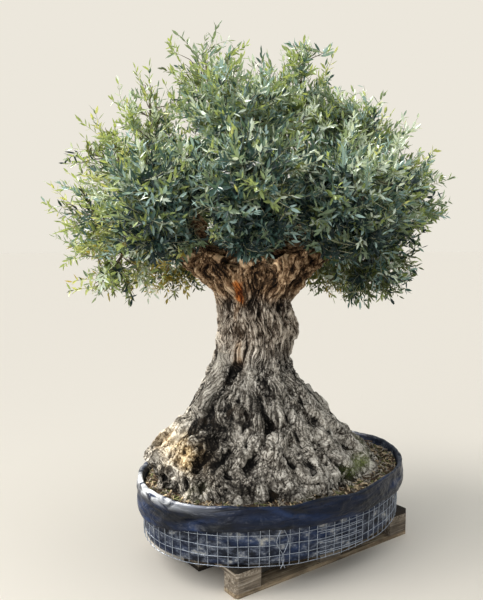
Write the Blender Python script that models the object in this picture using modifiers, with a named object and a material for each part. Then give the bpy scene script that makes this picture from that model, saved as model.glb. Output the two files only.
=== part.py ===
"""Olive tree, grown as a large bonsai, in a lined wire basket on a wooden pallet.

Metres, +Z up. The origin is on the floor under the middle of the pallet, +X runs along the pallet's
long side. The tree's best side faces the corner between -X and -Y: places on the plant are given as
(right, away, up), as seen from there, and at() turns them into the frame above.
"""

import math
import random

import bmesh
import bpy
from mathutils import Matrix, Vector

# Driving dimensions -------------------------------------------------------------------------------

GAP = 0.0003  # clearance between pieces that rest on each other
FRONT_TURN = math.radians(36.0)  # how far the best side is turned from the pallet's long side

PALLET_LENGTH, PALLET_WIDTH, PALLET_HEIGHT = 1.2, 0.8, 0.144
BOARD_THICKNESS = 0.022
WIDE_BOARD, NARROW_BOARD = 0.145, 0.100
BLOCK_LENGTH = 0.145
CORNER_CUT = 0.012  # chamfer on the pallet's four upright edges

BALL_CENTRE = (-0.035, 0.015)
BALL_HALF_LENGTH, BALL_HALF_WIDTH = 0.788, 0.598
BALL_FOOT_SHARE = 0.985  # the ball is a little narrower at the deck
HEEL = PALLET_HEIGHT + 0.03  # the sheet turns in under the ball below this height
SOIL_LEVEL = 0.400
LINER_TOP, LINER_WALL = 0.450, 0.006
COLLAR_HEM, COLLAR_STANDOFF = 0.335, 0.013  # the liner's edge is folded out and down over the wire
COLLAR_FLARE = 0.016  # how far the hem hangs clear of the rim
LINER_STEPS = 36

WIRE_RADIUS, HOOP_PITCH = 0.0022, 0.050 * 1.6
HOOP_LEVELS = 3
HOOP_SIDES = LINER_STEPS
UPRIGHTS = 7  # the rest of the 50 mm mesh is left to the finish

# Trunk sections: height, axis (right, away), half sizes along X and Y.
TRUNK_SECTIONS = (
    (0.400, -0.060, 0.00, 0.655, 0.495),
    (0.470, -0.100, 0.00, 0.635, 0.480),
    (0.550, -0.150, 0.01, 0.590, 0.455),
    (0.620, -0.140, 0.02, 0.510, 0.420),
    (0.700, -0.138, 0.03, 0.425, 0.378),
    (0.800, -0.147, 0.04, 0.343, 0.322),
    (0.920, -0.163, 0.05, 0.272, 0.258),
    (1.030, -0.168, 0.05, 0.232, 0.226),
    (1.200, -0.148, 0.05, 0.232, 0.224),
    (1.330, -0.160, 0.05, 0.228, 0.220),
    (1.420, -0.158, 0.05, 0.256, 0.240),
    (1.480, -0.152, 0.05, 0.286, 0.268),
    (1.530, -0.145, 0.05, 0.262, 0.245),
    (1.580, -0.140, 0.05, 0.120, 0.110),
)
TRUNK_SIDES, TRUNK_RINGS = 38, 14
ROOT_COUNT, ROOT_SEED = 11, 8
ROOT_RISE = 0.085  # of the radius, at ground level
ROOT_FADE = 0.32  # height over which the roots sink back into the trunk
# Burls: bearing seen from above (0 is right, 90 away), height, half size, how far they stand out.
BURLS = (
    (5, 1.165, 0.085, 0.034),
    (168, 1.12, 0.075, 0.008),
    (262, 1.30, 0.080, 0.024),
    (250, 0.78, 0.100, 0.030),
    (186, 0.54, 0.110, 0.060),
    (300, 0.52, 0.090, 0.035),
)

# Limbs: name, carrier, foot, bend and tip as (right, away, up), radius at foot and tip.
LIMBS = (
    ("bough_right", "trunk", (-0.06, 0.02, 1.40), (0.12, 0.01, 1.56),
     (0.35, -0.02, 1.74), 0.120, 0.042),
    ("bough_left", "trunk", (-0.24, 0.03, 1.40), (-0.43, 0.02, 1.55),
     (-0.70, -0.02, 1.68), 0.115, 0.040),
    ("bough_front", "trunk", (-0.15, -0.05, 1.39), (-0.16, -0.24, 1.55),
     (-0.19, -0.42, 1.72), 0.095, 0.038),
    ("bough_front_left", "trunk", (-0.22, -0.04, 1.40), (-0.34, -0.19, 1.56),
     (-0.47, -0.35, 1.73), 0.090, 0.036),
    ("bough_front_right", "trunk", (-0.08, -0.04, 1.40), (0.03, -0.20, 1.56),
     (0.15, -0.36, 1.73), 0.090, 0.036),
    ("bough_back", "trunk", (-0.15, 0.14, 1.40), (-0.17, 0.29, 1.55),
     (-0.20, 0.46, 1.76), 0.095, 0.038),
    ("bough_back_left", "trunk", (-0.22, 0.13, 1.40), (-0.36, 0.24, 1.55),
     (-0.51, 0.37, 1.72), 0.090, 0.038),
    ("bough_back_right", "trunk", (-0.08, 0.13, 1.40), (0.05, 0.25, 1.55),
     (0.19, 0.38, 1.72), 0.090, 0.038),
    ("leader_left", "trunk", (-0.20, 0.04, 1.42), (-0.28, 0.03, 1.74),
     (-0.33, 0.02, 2.08), 0.090, 0.034),
    ("leader_right", "trunk", (-0.11, 0.06, 1.42), (-0.03, 0.08, 1.76),
     (0.02, 0.08, 2.16), 0.075, 0.028),
    ("bough_left_upper", "trunk", (-0.24, 0.05, 1.44), (-0.46, 0.04, 1.72),
     (-0.66, 0.05, 2.00), 0.072, 0.030),
    ("bough_right_upper", "trunk", (-0.06, 0.05, 1.44), (0.09, 0.03, 1.70),
     (0.22, 0.02, 1.94), 0.075, 0.032),
)
LIMB_POINTS = 6
LIMB_WANDER = 0.016  # how far a limb strays to either side of its arc

# Masses: name, carrying limb, centre (right, away, up), half width, half height, how far out the
# leaves are closed into a core (0 is open), number of twigs.
MASSES = (
    ("mass_left", "bough_left", (-1.01, 0.02, 1.79), 0.295, 0.260, 0.0, 6),
    ("mass_left_lower", "bough_left", (-0.88, -0.10, 1.53), 0.300, 0.215, 0.0, 6),
    ("mass_left_upper", "bough_left_upper", (-0.91, 0.05, 2.09), 0.290, 0.260, 0.0, 6),
    ("mass_upper_left", "bough_left_upper", (-0.71, 0.05, 2.34), 0.270, 0.250, 0.0, 6),
    ("mass_top_left", "leader_left", (-0.40, 0.00, 2.47), 0.285, 0.285, 0.0, 5),
    ("mass_crown_front", "leader_left", (-0.23, -0.32, 2.22), 0.340, 0.280, 0.54, 2),
    ("mass_crown_back", "leader_left", (-0.24, 0.40, 2.26), 0.340, 0.290, 0.54, 2),
    ("mass_top_right", "leader_right", (-0.08, 0.04, 2.45), 0.230, 0.240, 0.0, 5),
    ("mass_sprig", "leader_right", (0.11, 0.08, 2.57), 0.210, 0.240, 0.0, 6),
    ("mass_right_upper", "bough_right_upper", (0.36, -0.02, 2.15), 0.325, 0.270, 0.54, 2),
    ("mass_right", "bough_right", (0.57, 0.00, 1.90), 0.290, 0.300, 0.54, 2),
    ("mass_right_lower", "bough_right", (0.43, -0.05, 1.57), 0.320, 0.250, 0.54, 2),
    ("mass_front_left", "bough_front_left", (-0.60, -0.50, 1.85), 0.320, 0.290, 0.54, 2),
    ("mass_front", "bough_front", (-0.19, -0.62, 1.87), 0.310, 0.280, 0.54, 2),
    ("mass_front_right", "bough_front_right", (0.26, -0.50, 1.86), 0.320, 0.290, 0.54, 2),
    ("mass_back_left", "bough_back_left", (-0.62, 0.52, 2.00), 0.360, 0.330, 0.54, 2),
    ("mass_back_left_lower", "bough_back_left", (-0.66, 0.46, 1.52), 0.300, 0.210, 0.0, 5),
    ("mass_back", "bough_back", (-0.19, 0.68, 1.92), 0.340, 0.330, 0.54, 2),
    ("mass_back_right", "bough_back_right", (0.32, 0.50, 2.00), 0.360, 0.330, 0.54, 2),
    ("mass_back_right_lower", "bough_back_right", (0.34, 0.46, 1.54), 0.300, 0.220, 0.0, 5),
)
MASS_GAP = 0.004  # half the clear space between neighbouring masses
LIMB_CLEARANCE = 0.006
STEM_POINTS = 5
# Masses on one limb: how far off its axis their stems stand, and their radius, as shares of its own.
STEM_SHARES = {1: (0.0, 0.80), 2: (0.52, 0.44), 3: (0.56, 0.36)}
STEM_TIP_SHARE = 0.45  # the stem ends this share of the way out, beyond the centre
TWIG_RADIUS, TWIG_TIP_RADIUS = 0.0080, 0.0045
LEAVES_ON_TWIG = (0.42, 0.78)
LEAVES_ON_CORE = 13
CORE_LEAF_ROOT = 0.76  # of the way out to the core's surface
LEAF_LENGTH, LEAF_WIDTH, LEAF_THICKNESS = 0.205, 0.074, 0.011
LEAF_SPREAD = math.radians(50.0)
LEAF_SIZES = (1.1, 1.0, 0.85, 0.7, 0.55)  # the first that fits is taken
LEAF_SPACING = 0.028  # between the middles of neighbouring leaves
CORE_LUMPS = 0.12  # the core's surface varies by this share of its reach
GOLDEN_ANGLE = math.pi * (3.0 - math.sqrt(5.0))

MATERIALS = {
    # name: colour, roughness, metallic
    "bark": ((0.23, 0.19, 0.15), 0.9, 0.0),
    "foliage": ((0.16, 0.22, 0.11), 0.6, 0.0),
    "soil": ((0.07, 0.05, 0.035), 1.0, 0.0),
    "liner": ((0.02, 0.035, 0.08), 0.35, 0.0),
    "wire": ((0.55, 0.57, 0.60), 0.4, 1.0),
    "pallet_wood": ((0.42, 0.31, 0.20), 0.85, 0.0),
}


# Scene helpers --------------------------------------------------------------------------------------


def at(right, away, up):
    """A place given as seen from the tree's best side, in the frame of the pallet."""
    cos, sin = math.cos(FRONT_TURN), math.sin(FRONT_TURN)
    return Vector((right * cos + away * sin, away * cos - right * sin, up))


def clear_scene():
    for obj in list(bpy.data.objects):
        bpy.data.objects.remove(obj, do_unlink=True)


def make_collection(name):
    collection = bpy.data.collections.new(name)
    bpy.context.scene.collection.children.link(collection)
    return collection


def material(name):
    found = bpy.data.materials.get(name)
    if found:
        return found
    colour, roughness, metallic = MATERIALS[name]
    made = bpy.data.materials.new(name)
    made.use_nodes = True
    shader = made.node_tree.nodes["Principled BSDF"]
    shader.inputs["Base Color"].default_value = (*colour, 1.0)
    shader.inputs["Roughness"].default_value = roughness
    shader.inputs["Metallic"].default_value = metallic
    return made


def object_from_bmesh(bm, name, collection, material_name):
    mesh = bpy.data.meshes.new(name)
    bm.to_mesh(mesh)
    bm.free()
    obj = bpy.data.objects.new(name, mesh)
    mesh.materials.append(material(material_name))
    collection.objects.link(obj)
    return obj


def evaluated_mesh(obj):
    graph = bpy.context.evaluated_depsgraph_get()
    return bpy.data.meshes.new_from_object(obj.evaluated_get(graph), depsgraph=graph)


def keep_largest_island(mesh):
    """Drops loose scraps, and the inner walls of a sealed hollow, so that one outer skin is left."""
    bm = bmesh.new()
    bm.from_mesh(mesh)
    bm.verts.ensure_lookup_table()
    seen, islands = set(), []
    for start in bm.verts:
        if start in seen:
            continue
        island, queue = [], [start]
        seen.add(start)
        while queue:
            vertex = queue.pop()
            island.append(vertex)
            for edge in vertex.link_edges:
                other = edge.other_vert(vertex)
                if other not in seen:
                    seen.add(other)
                    queue.append(other)
        islands.append(island)
    islands.sort(key=len)
    for island in islands[:-1]:
        bmesh.ops.delete(bm, geom=island, context="VERTS")
    bm.to_mesh(mesh)
    bm.free()


def apply_boolean(obj, others, operation, solver="EXACT"):
    """Cuts obj by, or joins it with, the other objects, which are then removed."""
    tools = make_collection("tools")
    for other in others:
        for home in list(other.users_collection):
            home.objects.unlink(other)
        tools.objects.link(other)
    modifier = obj.modifiers.new(operation.lower(), "BOOLEAN")
    modifier.operation = operation
    modifier.operand_type = "COLLECTION"
    modifier.collection = tools
    modifier.solver = solver
    mesh = evaluated_mesh(obj)
    obj.modifiers.remove(modifier)
    for other in others:
        bpy.data.objects.remove(other, do_unlink=True)
    bpy.data.collections.remove(tools)
    keep_largest_island(mesh)
    obj.data = mesh
    return obj


def fix_triangles(obj):
    """Splits four-sided faces the same way every time, so that a grown copy clears the original."""
    bm = bmesh.new()
    bm.from_mesh(obj.data)
    bmesh.ops.triangulate(bm, faces=bm.faces, quad_method="FIXED", ngon_method="EAR_CLIP")
    bm.to_mesh(obj.data)
    bm.free()


def shade_smooth(obj, angle=math.radians(40.0)):
    obj.data.shade_smooth()
    obj.data.set_sharp_from_angle(angle=angle)


# Pallet -----------------------------------------------------------------------------------------------


def make_board(name, collection, size, centre, cut_corners=()):
    """One plank or block. cut_corners lists (sign x, sign y) of the upright edges with a chamfer."""
    bm = bmesh.new()
    bmesh.ops.create_cube(bm, size=1.0)
    bmesh.ops.scale(bm, vec=size, verts=bm.verts)
    for sign_x, sign_y in cut_corners:
        upright = [
            edge
            for edge in bm.edges
            if all(v.co.x * sign_x > 0 and v.co.y * sign_y > 0 for v in edge.verts)
        ]
        bmesh.ops.bevel(bm, geom=upright, offset=CORNER_CUT, segments=1, affect="EDGES")
    board = object_from_bmesh(bm, name, collection, "pallet_wood")
    board.location = centre
    return board


def make_pallet(collection):
    """Nine blocks on three skids, three stringers across them and five deck boards along."""
    levels = (0.0, BOARD_THICKNESS, PALLET_HEIGHT - 2 * BOARD_THICKNESS, PALLET_HEIGHT - BOARD_THICKNESS)
    block_height = levels[2] - levels[1] - GAP
    row_width = {-1: NARROW_BOARD, 0: WIDE_BOARD, 1: NARROW_BOARD}
    row_y = {side: side * (PALLET_WIDTH - NARROW_BOARD) / 2 for side in row_width}
    column_x = {side: side * (PALLET_LENGTH - BLOCK_LENGTH) / 2 for side in row_width}
    side_name = {-1: "front", 0: "middle", 1: "back"}
    end_name = {-1: "left", 0: "centre", 1: "right"}

    for side, width in row_width.items():
        ends = [(end, side) for end in (-1, 1) if side]
        size = (PALLET_LENGTH, width, BOARD_THICKNESS)
        centre = (0, row_y[side], BOARD_THICKNESS / 2)
        make_board(f"pallet_skid_{side_name[side]}", collection, size, centre, ends)
        for end, x in column_x.items():
            corner = [(end, side)] if end and side else []
            name = f"pallet_block_{side_name[side]}_{end_name[end]}"
            size = (BLOCK_LENGTH, width, block_height)
            centre = (x, row_y[side], levels[1] + GAP + block_height / 2)
            make_board(name, collection, size, centre, corner)

    for end, x in column_x.items():
        corners = [(end, side) for side in (-1, 1) if end]
        size = (WIDE_BOARD, PALLET_WIDTH, BOARD_THICKNESS - GAP)
        centre = (x, 0, levels[2] + GAP + size[2] / 2)
        make_board(f"pallet_stringer_{end_name[end]}", collection, size, centre, corners)

    deck_widths = (WIDE_BOARD, NARROW_BOARD, WIDE_BOARD, NARROW_BOARD, WIDE_BOARD)
    space = (PALLET_WIDTH - sum(deck_widths)) / (len(deck_widths) - 1)
    edge = -PALLET_WIDTH / 2
    for number, width in enumerate(deck_widths, 1):
        side = {1: -1, len(deck_widths): 1}.get(number, 0)
        corners = [(end, side) for end in (-1, 1) if side]
        size = (PALLET_LENGTH, width, BOARD_THICKNESS - GAP)
        centre = (0, edge + width / 2, levels[3] + GAP + size[2] / 2)
        make_board(f"pallet_deck_{number}", collection, size, centre, corners)
        edge += width + space


# Root ball --------------------------------------------------------------------------------------------


def turned_oval(name, collection, profile, steps, material_name):
    """A closed profile of (share of the ball's half size, height), turned and stretched to the oval."""
    bm = bmesh.new()
    points = [bm.verts.new((share, 0.0, height)) for share, height in profile]
    for first, second in zip(points, points[1:]):
        bm.edges.new((first, second))
    if profile[0][0] > 0:
        bm.edges.new((points[-1], points[0]))
    obj = object_from_bmesh(bm, name, collection, material_name)
    obj.scale = (BALL_HALF_LENGTH, BALL_HALF_WIDTH, 1.0)
    obj.location = (*BALL_CENTRE, 0.0)
    screw = obj.modifiers.new("turn", "SCREW")
    screw.steps = screw.render_steps = steps
    screw.use_merge_vertices = True
    screw.merge_threshold = 0.0001
    screw.use_smooth_shade = True
    return obj


def wall_share(height, offset):
    """The ball's half size at this height, less this much, as a share of its half size at the rim."""
    rise = min(max((height - HEEL) / (LINER_TOP - HEEL), 0.0), 1.0)
    return (1.0 - offset / BALL_HALF_WIDTH) * (BALL_FOOT_SHARE + (1 - BALL_FOOT_SHARE) * rise)


def make_root_ball(collection):
    """The sheet round the ball, with its edge folded out over the wire, and the soil that fills it."""
    floor = PALLET_HEIGHT + GAP
    outside, inside = COLLAR_STANDOFF, COLLAR_STANDOFF + LINER_WALL
    fold = LINER_TOP - 2 * LINER_WALL
    # Up the inside from the middle of the floor, over the rim, and back down the outside.
    liner = (
        (0.0, floor + LINER_WALL),
        (wall_share(HEEL, inside) * 0.96, floor + LINER_WALL),
        (wall_share(HEEL, inside), HEEL),
        (wall_share(LINER_TOP, inside), LINER_TOP - LINER_WALL),
        (wall_share(LINER_TOP, outside), LINER_TOP),
        (wall_share(LINER_TOP, 0.0), LINER_TOP - LINER_WALL),
        (wall_share(LINER_TOP, -COLLAR_FLARE), COLLAR_HEM),
        (wall_share(LINER_TOP, LINER_WALL - COLLAR_FLARE), COLLAR_HEM),
        (wall_share(LINER_TOP, LINER_WALL), fold),
        (wall_share(LINER_TOP, outside), fold),
        (wall_share(HEEL, outside), HEEL),
        (wall_share(HEEL, outside) * 0.96, floor),
        (0.0, floor),
    )
    turned_oval("liner", collection, liner, LINER_STEPS, "liner")

    against = inside + 4 * GAP
    soil = (
        (0.0, SOIL_LEVEL),
        (wall_share(SOIL_LEVEL, against), SOIL_LEVEL),
        (wall_share(HEEL, against), HEEL + 0.002),
        (wall_share(HEEL, against) * 0.955, floor + LINER_WALL + GAP),
        (0.0, floor + LINER_WALL + GAP),
    )
    turned_oval("root_ball_soil", collection, soil, LINER_STEPS, "soil")


def make_basket(collection):
    """The mesh's main hoops, joined by uprights that end under the folded collar."""
    lowest = PALLET_HEIGHT + GAP + WIRE_RADIUS
    heights = [lowest + HOOP_PITCH * k for k in range(HOOP_LEVELS)]

    def spot(angle, height, inward=0.0):
        out = wall_share(height, COLLAR_STANDOFF - 2 * WIRE_RADIUS + inward)
        x = BALL_CENTRE[0] + BALL_HALF_LENGTH * out * math.cos(angle)
        y = BALL_CENTRE[1] + BALL_HALF_WIDTH * out * math.sin(angle)
        return Vector((x, y, height))

    pieces = []
    for level, height in enumerate(heights):
        path = [spot(2 * math.pi * k / HOOP_SIDES, height) for k in range(HOOP_SIDES)]
        radii = [WIRE_RADIUS] * HOOP_SIDES
        pieces.append(make_tube(f"hoop_{level}", collection, path, radii, "wire", 0, True))
    for number in range(UPRIGHTS):
        angle = 2 * math.pi * (number + 0.5) / UPRIGHTS
        low, high = heights[0] - WIRE_RADIUS * 0.4, COLLAR_HEM + 0.02
        path = [spot(angle, low, WIRE_RADIUS * 0.3), spot(angle, high, WIRE_RADIUS * 0.3)]
        pieces.append(make_tube(f"upright_{number}", collection, path, [WIRE_RADIUS] * 2, "wire", 0))
    basket = pieces[0]
    apply_boolean(basket, pieces[1:], "UNION")
    basket.name = "wire_basket"


# Trunk and limbs ---------------------------------------------------------------------------------


def trunk_section(height):
    """Axis and half sizes of the trunk at this height, on a smooth curve through the named sections."""
    rows = TRUNK_SECTIONS
    index = max(k for k in range(len(rows) - 1) if rows[k][0] <= height or k == 0)
    before, low = rows[max(index - 1, 0)], rows[index]
    high, after = rows[index + 1], rows[min(index + 2, len(rows) - 1)]
    t = min(max((height - low[0]) / (high[0] - low[0]), 0.0), 1.0)

    def curve(k):
        step = high[0] - low[0]
        slope_low = (high[k] - before[k]) / (high[0] - before[0]) * step
        slope_high = (after[k] - low[k]) / (after[0] - low[0]) * step
        return (
            (2 * t**3 - 3 * t**2 + 1) * low[k]
            + (t**3 - 2 * t**2 + t) * slope_low
            + (3 * t**2 - 2 * t**3) * high[k]
            + (t**3 - t**2) * slope_high
        )

    return [curve(k) for k in range(1, 5)]


def make_roots():
    """Bearing, half width and rise of each root ridge that runs up the flare, by a seeded rule."""
    rng = random.Random(ROOT_SEED)
    spacing = 2 * math.pi / ROOT_COUNT
    return [
        (
            spacing * (k + rng.uniform(-0.28, 0.28)),
            spacing * rng.uniform(0.26, 0.40),
            ROOT_RISE * rng.uniform(0.6, 1.3),
            rng.uniform(-0.5, 0.5),
        )
        for k in range(ROOT_COUNT)
    ]


ROOTS = make_roots()


def turn_between(a, b):
    return (a - b + math.pi) % (2 * math.pi) - math.pi


def ridge_share(angle, height):
    """How far the roots stand out of the trunk here, or the furrows sink in, as a share of its radius."""
    rise = height - SOIL_LEVEL
    strength = 0.22 + 0.78 * math.exp(-((rise / ROOT_FADE) ** 2))
    total = -0.5 * ROOT_RISE
    for bearing, width, height_share, twist in ROOTS:
        off = turn_between(angle, bearing + twist * rise)
        total += height_share * math.exp(-((off / width) ** 2)) * 1.3
    return strength * total


def trunk_point(angle, height, grow=0.0):
    """A point of the trunk's skin. Grow moves it out, for a cutter that leaves a gap."""
    right, away, half_x, half_y = trunk_section(height)
    axis = at(right, away, height)
    swell = 1.0 + ridge_share(angle, height)
    point = Vector((half_x * math.cos(angle) * swell, half_y * math.sin(angle) * swell, 0.0))
    for bearing, level, size, rise in BURLS:
        off = turn_between(angle, math.radians(bearing) - FRONT_TURN) * point.length
        spread = (off**2 + (height - level) ** 2) / size**2
        point *= 1.0 + rise * math.exp(-2.0 * spread) / point.length
    point *= 1.0 + grow / point.length
    return axis + point


def make_trunk(name, collection, grow=0.0):
    """A loft through the sections, from the flat cut on the soil to the head that the boughs leave."""
    bottom, shoulder, top = SOIL_LEVEL + GAP, TRUNK_SECTIONS[-2][0], TRUNK_SECTIONS[-1][0]
    heights = [bottom + (shoulder - bottom) * row / TRUNK_RINGS for row in range(TRUNK_RINGS + 1)]
    bm = bmesh.new()
    rings = []
    for height in (*heights, top):
        ring = []
        for side in range(TRUNK_SIDES):
            point = trunk_point(2 * math.pi * side / TRUNK_SIDES, height, grow)
            if height == top:
                point.z += grow
            ring.append(bm.verts.new(point))
        rings.append(ring)
    for low, high in zip(rings, rings[1:]):
        for side in range(TRUNK_SIDES):
            other = (side + 1) % TRUNK_SIDES
            bm.faces.new((low[side], low[other], high[other], high[side]))
    bm.faces.new(rings[0][::-1])
    bm.faces.new(rings[-1])
    trunk = object_from_bmesh(bm, name, collection, "bark")
    fix_triangles(trunk)
    shade_smooth(trunk)
    return trunk


def make_tube(name, collection, path, radii, material_name, resolution, cyclic=False):
    """A round, tapering limb or wire as a mesh: a bevelled curve with filled caps, welded."""
    curve = bpy.data.curves.new(name, "CURVE")
    curve.dimensions = "3D"
    curve.bevel_depth = 1.0
    curve.bevel_resolution = resolution
    curve.use_fill_caps = True
    spline = curve.splines.new("POLY")
    spline.points.add(len(path) - 1)
    spline.use_cyclic_u = cyclic
    for point, place, radius in zip(spline.points, path, radii):
        point.co = (*place, 1.0)
        point.radius = radius
    guide = bpy.data.objects.new(name + "_guide", curve)
    collection.objects.link(guide)
    mesh = evaluated_mesh(guide)
    bm = bmesh.new()
    bm.from_mesh(mesh)
    bmesh.ops.remove_doubles(bm, verts=bm.verts, dist=0.00002)
    bmesh.ops.recalc_face_normals(bm, faces=bm.faces)
    bm.to_mesh(mesh)
    bm.free()
    mesh.name = name
    bpy.data.objects.remove(guide, do_unlink=True)
    bpy.data.curves.remove(curve)
    tube = bpy.data.objects.new(name, mesh)
    mesh.materials.clear()
    mesh.materials.append(material(material_name))
    collection.objects.link(tube)
    return tube


def bent_path(start, bend, end, count):
    """Points on the smooth arc that leaves start towards bend and comes in to end from it."""
    shares = [k / (count - 1) for k in range(count)]
    return [start * (1 - t) ** 2 + bend * (2 * t * (1 - t)) + end * t**2 for t in shares]


def limb_layout():
    """Each limb's path, which strays a little from its arc, and its radii."""
    limbs = {}
    for seed, (name, carrier, foot, bend, tip, foot_radius, tip_radius) in enumerate(LIMBS):
        rng = random.Random(seed)
        path = bent_path(at(*foot), at(*bend), at(*tip), LIMB_POINTS)
        for k in range(1, LIMB_POINTS - 2):
            path[k] += Vector([rng.uniform(-LIMB_WANDER, LIMB_WANDER) for _ in range(3)])
        shares = [k / (LIMB_POINTS - 1) for k in range(LIMB_POINTS)]
        limbs[name] = (path, [foot_radius + (tip_radius - foot_radius) * t for t in shares])
    return limbs


def make_limbs(collection, limbs):
    """The limbs in order, each cut clear of the trunk and of the limbs before it."""
    made = []
    for name, (path, radii) in limbs.items():
        limb = make_tube(name, collection, path, radii, "bark", 2)
        fix_triangles(limb)
        cutters = [make_trunk("trunk_room", collection, GAP)]
        for other in made:
            other_path, other_radii = limbs[other]
            grown = [radius + GAP * 1.2 for radius in other_radii]
            cutters.append(make_tube("limb_room", collection, other_path, grown, "bark", 2))
            fix_triangles(cutters[-1])
        apply_boolean(limb, cutters, "DIFFERENCE")
        shade_smooth(limb)
        made.append(name)


# Foliage -----------------------------------------------------------------------------------------


class Space:
    """The room one mass keeps to: an egg round its centre, cut flat halfway to each neighbour."""

    def __init__(self, row, rows):
        self.centre = at(*row[2])
        self.half_width, self.half_height = row[3], row[4]
        self.walls = []
        for other in rows:
            if other is row:
                continue
            between = at(*other[2]) - self.centre
            apart = between.length
            own, theirs = row[3] + row[4], other[3] + other[4]
            reach = apart / 2 + (own**2 - theirs**2) / (8 * apart) - MASS_GAP
            self.walls.append((between / apart, reach))

    def holds(self, point, slack=0.0):
        off = point - self.centre
        flat = (off.x**2 + off.y**2) / self.half_width**2 + off.z**2 / self.half_height**2
        if flat > 1.0 + slack:
            return False
        return all(off.dot(normal) <= reach for normal, reach in self.walls)

    def reach(self, direction):
        """How far a ray from the centre runs before it leaves the room."""
        level = (direction.x**2 + direction.y**2) / self.half_width**2
        flat = level + direction.z**2 / self.half_height**2
        far = 1.0 / math.sqrt(flat)
        for normal, reach in self.walls:
            along = direction.dot(normal)
            if along > 1e-6:
                far = min(far, reach / along)
        return far


def distance_to_segment(point, start, end):
    along = end - start
    t = (point - start).dot(along) / along.length_squared
    t = min(max(t, 0.0), 1.0)
    return (point - start - along * t).length, t


def clear_of_limbs(points, limbs, margin):
    """True if no point of a run lies within a limb, or nearer to it than the margin."""
    for path, radii in limbs:
        for k in range(len(path) - 1):
            for point in points:
                gap, t = distance_to_segment(point, path[k], path[k + 1])
                if gap < radii[k] + (radii[k + 1] - radii[k]) * t + margin:
                    return False
    return all(clear_of_trunk(point, margin) for point in points)


def clear_of_trunk(point, margin):
    """True outside the trunk's head, which alone reaches up to the masses."""
    if point.z > TRUNK_SECTIONS[-1][0] + margin:
        return True
    right, away, half_x, half_y = trunk_section(min(max(point.z, SOIL_LEVEL), TRUNK_SECTIONS[-1][0]))
    off = point - at(right, away, point.z)
    swell = 1.12 + margin / half_y
    return (off.x / half_x) ** 2 + (off.y / half_y) ** 2 > swell**2


def along(start, end, step=0.012):
    count = max(2, int((end - start).length / step) + 1)
    return [start.lerp(end, k / (count - 1)) for k in range(count)]


def stem_layout(limbs):
    """Each mass's stem: it leaves its limb's tip straight, beside others there, and bends to the centre."""
    stems = {}
    for name, (path, radii) in limbs.items():
        carried = [row for row in MASSES if row[1] == name]
        axis = (path[-1] - path[-2]).normalized()
        tip = path[-1] + axis * GAP
        middle = sum((at(*row[2]) for row in carried), Vector()) / max(len(carried), 1)
        for row in carried:
            space = Space(row, MASSES)
            aside = space.centre - middle
            aside -= axis * aside.dot(axis)
            offset_share, radius_share = STEM_SHARES[len(carried)]
            offset = aside.normalized() * radii[-1] * offset_share
            radius = radii[-1] * radius_share
            start = tip + offset
            straight = start + axis * radius * 2.2
            outward = (space.centre - straight).normalized()
            end = space.centre + outward * space.reach(outward) * STEM_TIP_SHARE
            bend = straight + axis * (end - straight).length * 0.25
            points = [start, *bent_path(straight, bend, end, STEM_POINTS - 1)]
            thinning = [1.0, 0.95, 0.72, 0.5, 0.30]
            stems[row[0]] = (points, [max(radius * share, TWIG_RADIUS) for share in thinning])
    return stems


def even_directions(count, turn):
    """Directions spread evenly over the sphere, on a golden spiral."""
    for k in range(count):
        height = 1.0 - 2.0 * (k + 0.5) / count
        flat = math.sqrt(1.0 - height**2)
        bearing = turn + GOLDEN_ANGLE * k
        yield Vector((flat * math.cos(bearing), flat * math.sin(bearing), height))


def path_point(path, share):
    """The point this share of the way along a path, and the direction there."""
    lengths = [(b - a).length for a, b in zip(path, path[1:])]
    left = share * sum(lengths)
    for k, length in enumerate(lengths):
        if left <= length or k == len(lengths) - 1:
            direction = (path[k + 1] - path[k]).normalized()
            return path[k] + direction * min(left, length), direction
        left -= length


def random_vector(rng):
    return Vector((rng.uniform(-1, 1), rng.uniform(-1, 1), rng.uniform(-1, 1)))


def leaf_lean(outward, turn, lean):
    """Direction and face normal of a leaf that leans off its carrier's direction."""
    aside = Matrix.Rotation(turn, 3, outward) @ outward.orthogonal().normalized()
    direction = (outward * math.cos(lean) + aside * math.sin(lean)).normalized()
    return direction, direction.cross(aside.cross(outward)).normalized()


def leaf_corners(root, direction, normal, length):
    """Root, tip, the midrib's high point and the two sides of one blade."""
    across = direction.cross(normal).normalized() * LEAF_WIDTH / 2 * length / LEAF_LENGTH
    middle = root + direction * length * 0.45
    low = middle - normal * LEAF_THICKNESS / 3
    rib = middle + normal * LEAF_THICKNESS * 2 / 3
    return [root, root + direction * length, rib, low + across, low - across]


def leaf_spine(leaf):
    """The outer part of a leaf's midrib, which its neighbours keep clear of."""
    root, direction, _, length = leaf
    tip = root + direction * length
    return root.lerp(tip, 0.25), tip


def fit_leaf(leaves, space, obstacles, place, direction, normal):
    """Adds the largest leaf that keeps to the space, off the limbs and off the other leaves.

    Place gives the root for a length. The leaf is skipped if even the smallest does not fit."""
    for size in LEAF_SIZES:
        length = LEAF_LENGTH * size
        root = place(length)
        corners = leaf_corners(root, direction, normal, length)
        if not all(space.holds(point, 0.02) for point in corners[1:]):
            continue
        edges = [
            point for side in corners[2:] for point in (*along(root, side)[1:], *along(side, corners[1]))
        ]
        spine = along(root.lerp(corners[1], 0.4), corners[1], 0.02)
        crowded = any(
            distance_to_segment(point, *leaf_spine(other))[0] < LEAF_SPACING
            for other in leaves
            for point in spine
        )
        if not crowded and clear_of_limbs(edges, obstacles, LIMB_CLEARANCE):
            leaves.append((root, direction, normal, length))
            return


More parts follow.
